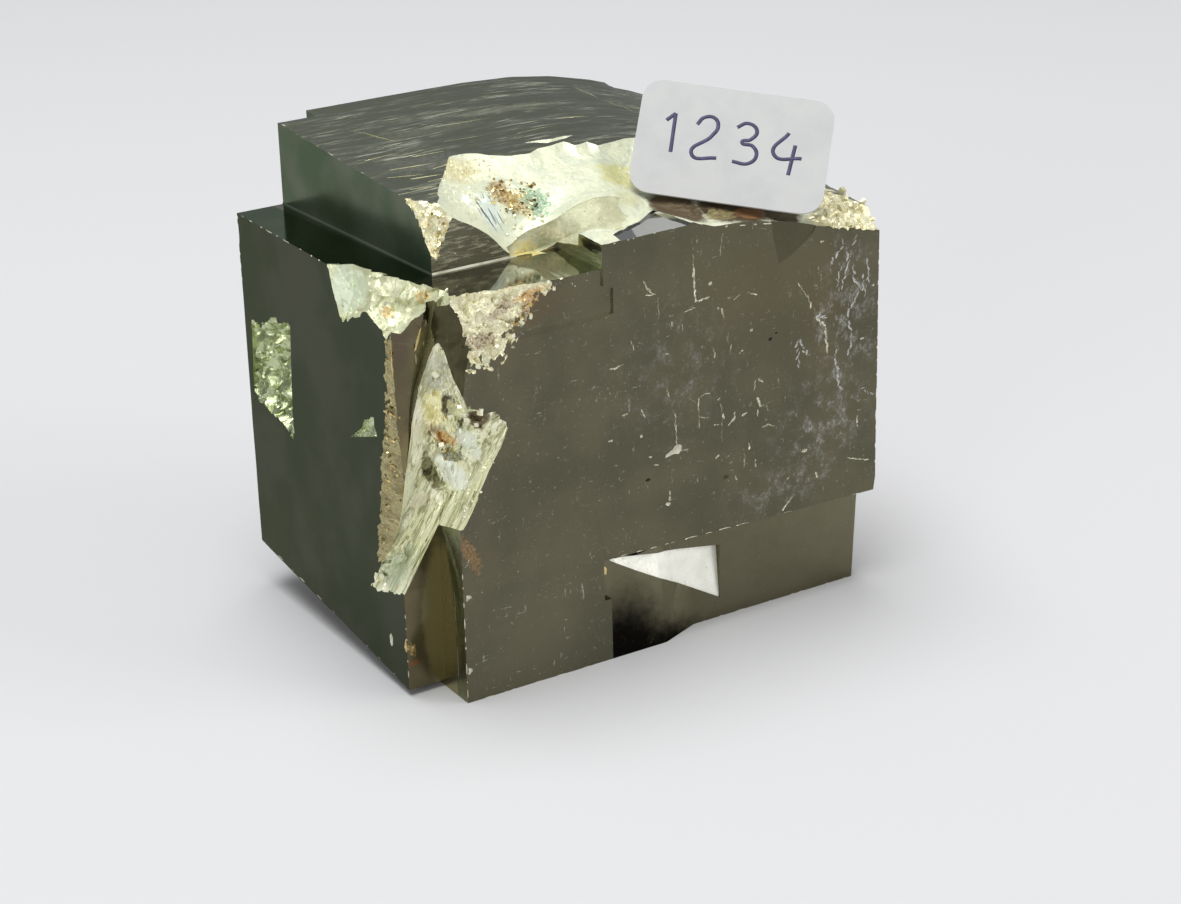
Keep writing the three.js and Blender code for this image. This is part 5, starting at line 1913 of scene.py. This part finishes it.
@dataclass
class Specimen:
    """The whole crystal group, as one piece in place of its plain solid."""

    cubes: Cubes = field(default_factory=Cubes)
    top: TopFace = field(default_factory=TopFace)
    sharp_over: float = 24.0
    facing: float = 0.9
    near: float = 0.5
    step_wall_from: float = 10.0
    upper_wall_from: float = 5.0
    bronze_until: float = 0.3
    slab_until: float = 1.0
    # Which way, and how closely, a recess face must look to keep the painted sheen.
    bright_side: Point = (0, -1, 0)
    bright_facing: float = 0.8
    granular_from: float = 41.6

    def build(self) -> Object:
        """Join the cubes, cut the breaks, sort the faces and put the piece in its place.

        Returns:
            The piece.
        """
        parts = [(Join.ADD, grown) for grown in self.cubes.grown()]
        pits = FacePits()
        cuts = [
            pits.recess(), *Skins().cutters(), self.top.cutter(), *BrokenTop(self.top).cutters(),
            *CornerBreaks().cutters(), pits.pocket(), pits.pocket_foot(), pits.pit(), UpperEdge().cutter(),
            *HiddenSides().cutters(), *Wear().cutters(),
        ]
        grains = [*CornerBreaks().grains(), *BrokenTop(self.top).grains(), Wear().golden_lines()]
        steps = [*parts, *((Join.CUT, cut) for cut in cuts), *((Join.ADD, grain) for grain in grains)]
        mesh = carved(self.cubes.main_cube(), steps)
        mesh.name = "pyrite_crystal"
        without_loose_bits(mesh)
        self._sort_faces(mesh)
        mesh.transform(crystal_to_frame())
        mesh.set_sharp_from_angle(angle=radians(self.sharp_over))
        return in_scene(mesh.name, mesh)

    def _finish_of(self, normal: Vector, middle: Vector) -> Finish:
        """Name a grown face's finish.

        Args:
            normal: Where the face looks.
            middle: The face's middle, in the crystal's millimetres.

        Returns:
            The finish of that face.
        """
        ledge = self.cubes.ledge_height
        if normal.x < -self.facing:
            if middle.x > self.step_wall_from:
                return STEP_WALL
            if middle.z > ledge and middle.x > self.near:
                return UPPER_WALL
            return SIDE_WALL if abs(middle.x) < self.near else LEFT
        if normal.y < -self.facing:
            if middle.z > ledge and middle.y > self.upper_wall_from:
                return UPPER_FRONT
            return BRONZE if middle.x < self.bronze_until else FRONT
        if normal.z > self.facing and middle.z < ledge + self.near:
            return SLAB_TOP if middle.x < self.slab_until else LEDGE
        return FACE

    def _sort_faces(self, mesh: Mesh) -> None:
        """Give each grown face the finish of its place, and shade only the rough faces smoothly.

        Args:
            mesh: The joined and cut mesh, in millimetres.
        """
        slots = {material.name: index for index, material in enumerate(mesh.materials)}
        plain, bright, rough = slots[FACE.name], slots[SHEEN.name], slots[BREAK.name]
        for finish in (FRONT, LEFT, UPPER_WALL, SIDE_WALL, STEP_WALL, UPPER_FRONT, BRONZE, LEDGE, SHADE,
                       SLAB_TOP, GRANULAR):
            if finish.name not in slots:
                slots[finish.name] = len(mesh.materials)
                mesh.materials.append(material_of(finish))
        for face in mesh.polygons:
            if face.material_index == plain:
                finish = self._finish_of(face.normal, face.center)
                face.material_index = slots[finish.name]
                face.use_smooth = False
                continue
            face.use_smooth = True
            # Recess faces that do not look to the front lose the painted sheen and take the lower face's
            # finish.
            towards = face.normal.dot(Vector(self.bright_side))
            if face.material_index == bright and towards < self.bright_facing:
                face.material_index = slots[DEEP.name]
            elif face.material_index == rough and face.center.x > self.granular_from:
                face.material_index = slots[GRANULAR.name]


@dataclass
class Label:
    """The small paper label, and a plain number written on it in pen, in millimetres."""

    width: float = 19.4
    height: float = 12.9
    corner: float = 2.2
    thickness: float = 0.22
    middle: Point = (36.37, 6.73, 48.62)
    faces: Point = (-0.367, -0.603, 0.708)
    along: Point = (0.772, -0.623, -0.129)
    slices: int = 24
    curl: float = 0.12
    stroke: float = 0.2
    ink_relief: float = 0.2
    sharp_over: float = 40.0
    digits: tuple[tuple[Span, ...], ...] = (
        ((-6.9, 1.9), (-6.1, 2.8)),
        ((-6.1, 2.8), (-6, -1.6)),
        ((-3.8, 1.9), (-3.2, 2.8), (-2.2, 2.9), (-1.7, 2), (-2.2, 0.8), (-3.9, -1.5), (-1.4, -1.6)),
        ((0.2, 2.2), (1.2, 2.8), (2.2, 2.1), (1.7, 1), (0.9, 0.6), (2, 0.3), (2.5, -0.7),
         (1.8, -1.7), (0.2, -1.7)),
        ((5.4, 2.3), (4.2, -0.3), (7, -0.4)),
        ((6.2, 1), (5.9, -2.4)),
    )

    def place(self) -> Matrix:
        """Give the matrix from the label's own axes to the crystal's.

        Returns:
            The matrix.
        """
        facing = Vector(self.faces).normalized()
        upward = facing.cross(Vector(self.along)).normalized()
        right = upward.cross(facing)
        turn = Matrix((right, upward, facing)).transposed()
        return Matrix.Translation(self.middle) @ turn.to_4x4()

    def bent(self, x: float, y: float) -> float:
        """Give how far the paper's ends stand forward of its middle."""
        return self.curl * ((2 * x / self.width) ** 2 - 0.4 * (2 * y / self.height) ** 2 + 0.3)

    def paper(self) -> Object:
        """Round a rectangle's corners, slice it, bend it and give it its thickness.

        Returns:
            The sheet.
        """
        shape = bmesh.new()
        bmesh.ops.create_grid(shape, x_segments=1, y_segments=1, size=0.5)
        bmesh.ops.scale(shape, vec=(self.width, self.height, 1), verts=shape.verts[:])
        bmesh.ops.bevel(
            shape, geom=shape.verts[:], offset=self.corner, offset_type="OFFSET", affect="VERTICES",
            segments=8, profile=0.5, material=-1,
        )
        for axis, length in ((0, self.width), (1, self.height)):
            for cut in range(1, self.slices):
                place, normal = Vector((0, 0, 0)), Vector((0, 0, 0))
                place[axis] = length * (cut / self.slices - 0.5)
                normal[axis] = 1
                bmesh.ops.bisect_plane(
                    shape, geom=[*shape.verts, *shape.edges, *shape.faces], plane_co=place, plane_no=normal,
                )
        for vert in shape.verts:
            vert.co.z = self.bent(vert.co.x, vert.co.y)
        piece = object_of("label_sheet", thickened(shape, (0, 0, self.thickness)), WHITE_PAPER)
        piece.data.transform(crystal_to_frame() @ self.place())
        piece.data.polygons.foreach_set("use_smooth", [True] * len(piece.data.polygons))
        piece.data.set_sharp_from_angle(angle=radians(self.sharp_over))
        return piece

    def number(self) -> Object:
        """Draw the number's strokes as flattened round lines on the paper.

        Returns:
            The strokes.
        """
        curve = bpy.data.curves.new("label_number", "CURVE")
        curve.dimensions = "3D"
        curve.bevel_depth = self.stroke
        curve.bevel_resolution = 3
        curve.use_fill_caps = True
        for digit in self.digits:
            spline = curve.splines.new("BEZIER")
            spline.bezier_points.add(len(digit) - 1)
            for point, (x, y) in zip(spline.bezier_points, digit):
                point.co = (x, y, (self.bent(x, y) + self.thickness) / self.ink_relief)
                point.handle_left_type = point.handle_right_type = "AUTO"
        drawn = in_scene(curve.name, curve)
        seen = drawn.evaluated_get(bpy.context.evaluated_depsgraph_get())
        mesh = bpy.data.meshes.new_from_object(seen)
        bpy.data.objects.remove(drawn)
        flat = Matrix.Diagonal((1, 1, self.ink_relief, 1))
        mesh.transform(crystal_to_frame() @ self.place() @ flat)
        mesh.materials.clear()
        mesh.materials.append(material_of(PEN_INK))
        return in_scene("label_number", mesh)


@dataclass
class Studio:
    """The camera, the pale floor and the soft lights, in metres."""

    camera_at: Point = (-0.135485, -0.22569, 0.12438)
    azimuth: float = -31.6
    elevation: float = 22.6
    roll: float = 1.46
    focal: float = 2700.0
    image_width: int = 1181
    sensor: float = 36.0
    floor_size: float = 3.0

    def camera(self) -> None:
        """Put the camera where the photograph was taken."""
        data = bpy.data.cameras.new("camera")
        data.sensor_width = self.sensor
        data.sensor_fit = "HORIZONTAL"
        data.lens = self.sensor * self.focal / self.image_width
        data.clip_start = 0.01
        camera = in_scene("camera", data)
        turn = (Matrix.Rotation(radians(self.azimuth), 4, "Z")
                @ Matrix.Rotation(radians(90 - self.elevation), 4, "X")
                @ Matrix.Rotation(radians(-self.roll), 4, "Z"))
        camera.matrix_world = Matrix.Translation(self.camera_at) @ turn
        bpy.context.scene.camera = camera

    def floor(self) -> None:
        """Lay the pale floor."""
        shape = bmesh.new()
        bmesh.ops.create_grid(shape, x_segments=1, y_segments=1, size=self.floor_size / 2)
        floor = object_of("floor", shape, FLOOR)

    def lamp(self, name: str, at: Point, size: Span, watts: float, colour: Colour) -> None:
        """Hang one soft rectangular light, turned to the specimen.

        Args:
            name: The light's name.
            at: Its place.
            size: Its width and height.
            watts: Its power.
            colour: Its colour.
        """
        data = bpy.data.lights.new(name, "AREA")
        data.shape = "RECTANGLE"
        data.size, data.size_y = size
        data.energy = watts
        data.color = colour
        lamp = in_scene(name, data)
        towards = Vector((0, 0, 0.02)) - Vector(at)
        turn = towards.to_track_quat("-Z", "Y").to_matrix().to_4x4()
        lamp.matrix_world = Matrix.Translation(at) @ turn

    def lights(self) -> None:
        """Light the specimen from above and from both sides, before a grey room."""
        world = bpy.data.worlds.new("room")
        world.use_nodes = True
        ground = world.node_tree.nodes["Background"]
        ground.inputs["Color"].default_value = (0.62, 0.64, 0.66, 1)
        ground.inputs["Strength"].default_value = 0.45
        bpy.context.scene.world = world
        self.lamp("overhead", (-0.1, 0.05, 0.9), (0.8, 0.6), 9, (1, 1, 1))
        self.lamp("window_right", (0.8, -0.7, 0.35), (0.6, 0.5), 5, (1, 0.98, 0.95))
        self.lamp("window_left", (-0.85, -0.5, 0.25), (0.5, 0.4), 2.5, (1, 1, 0.97))
        bpy.context.scene.view_settings.view_transform = "Standard"


def write_size() -> None:
    """Define a helper that turns a box's corners into lists of numbers; nothing is written."""
    def plain(box: object) -> list[list[float]]:
        """Turn a box's corners into lists of numbers."""
        return [[float(value) for value in corner] for corner in box]


def main() -> None:
    """Build and dress the specimen and its label, and set the stage."""
    studio = Studio()
    studio.camera()
    studio.floor()
    studio.lights()
    crystal = Specimen().build()
    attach(crystal, BODY)
    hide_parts("pyrite")
    label = Label()
    paper = label.paper()
    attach(paper, BODY)
    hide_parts("label")
    number = label.number()
    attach(number, BODY)
    for piece in (crystal, paper, number):
        log.info("%s: %d faces", piece.name, len(piece.data.polygons))
    write_size()


if __name__ == "__main__":
    logging.basicConfig(level=logging.INFO)
    main()
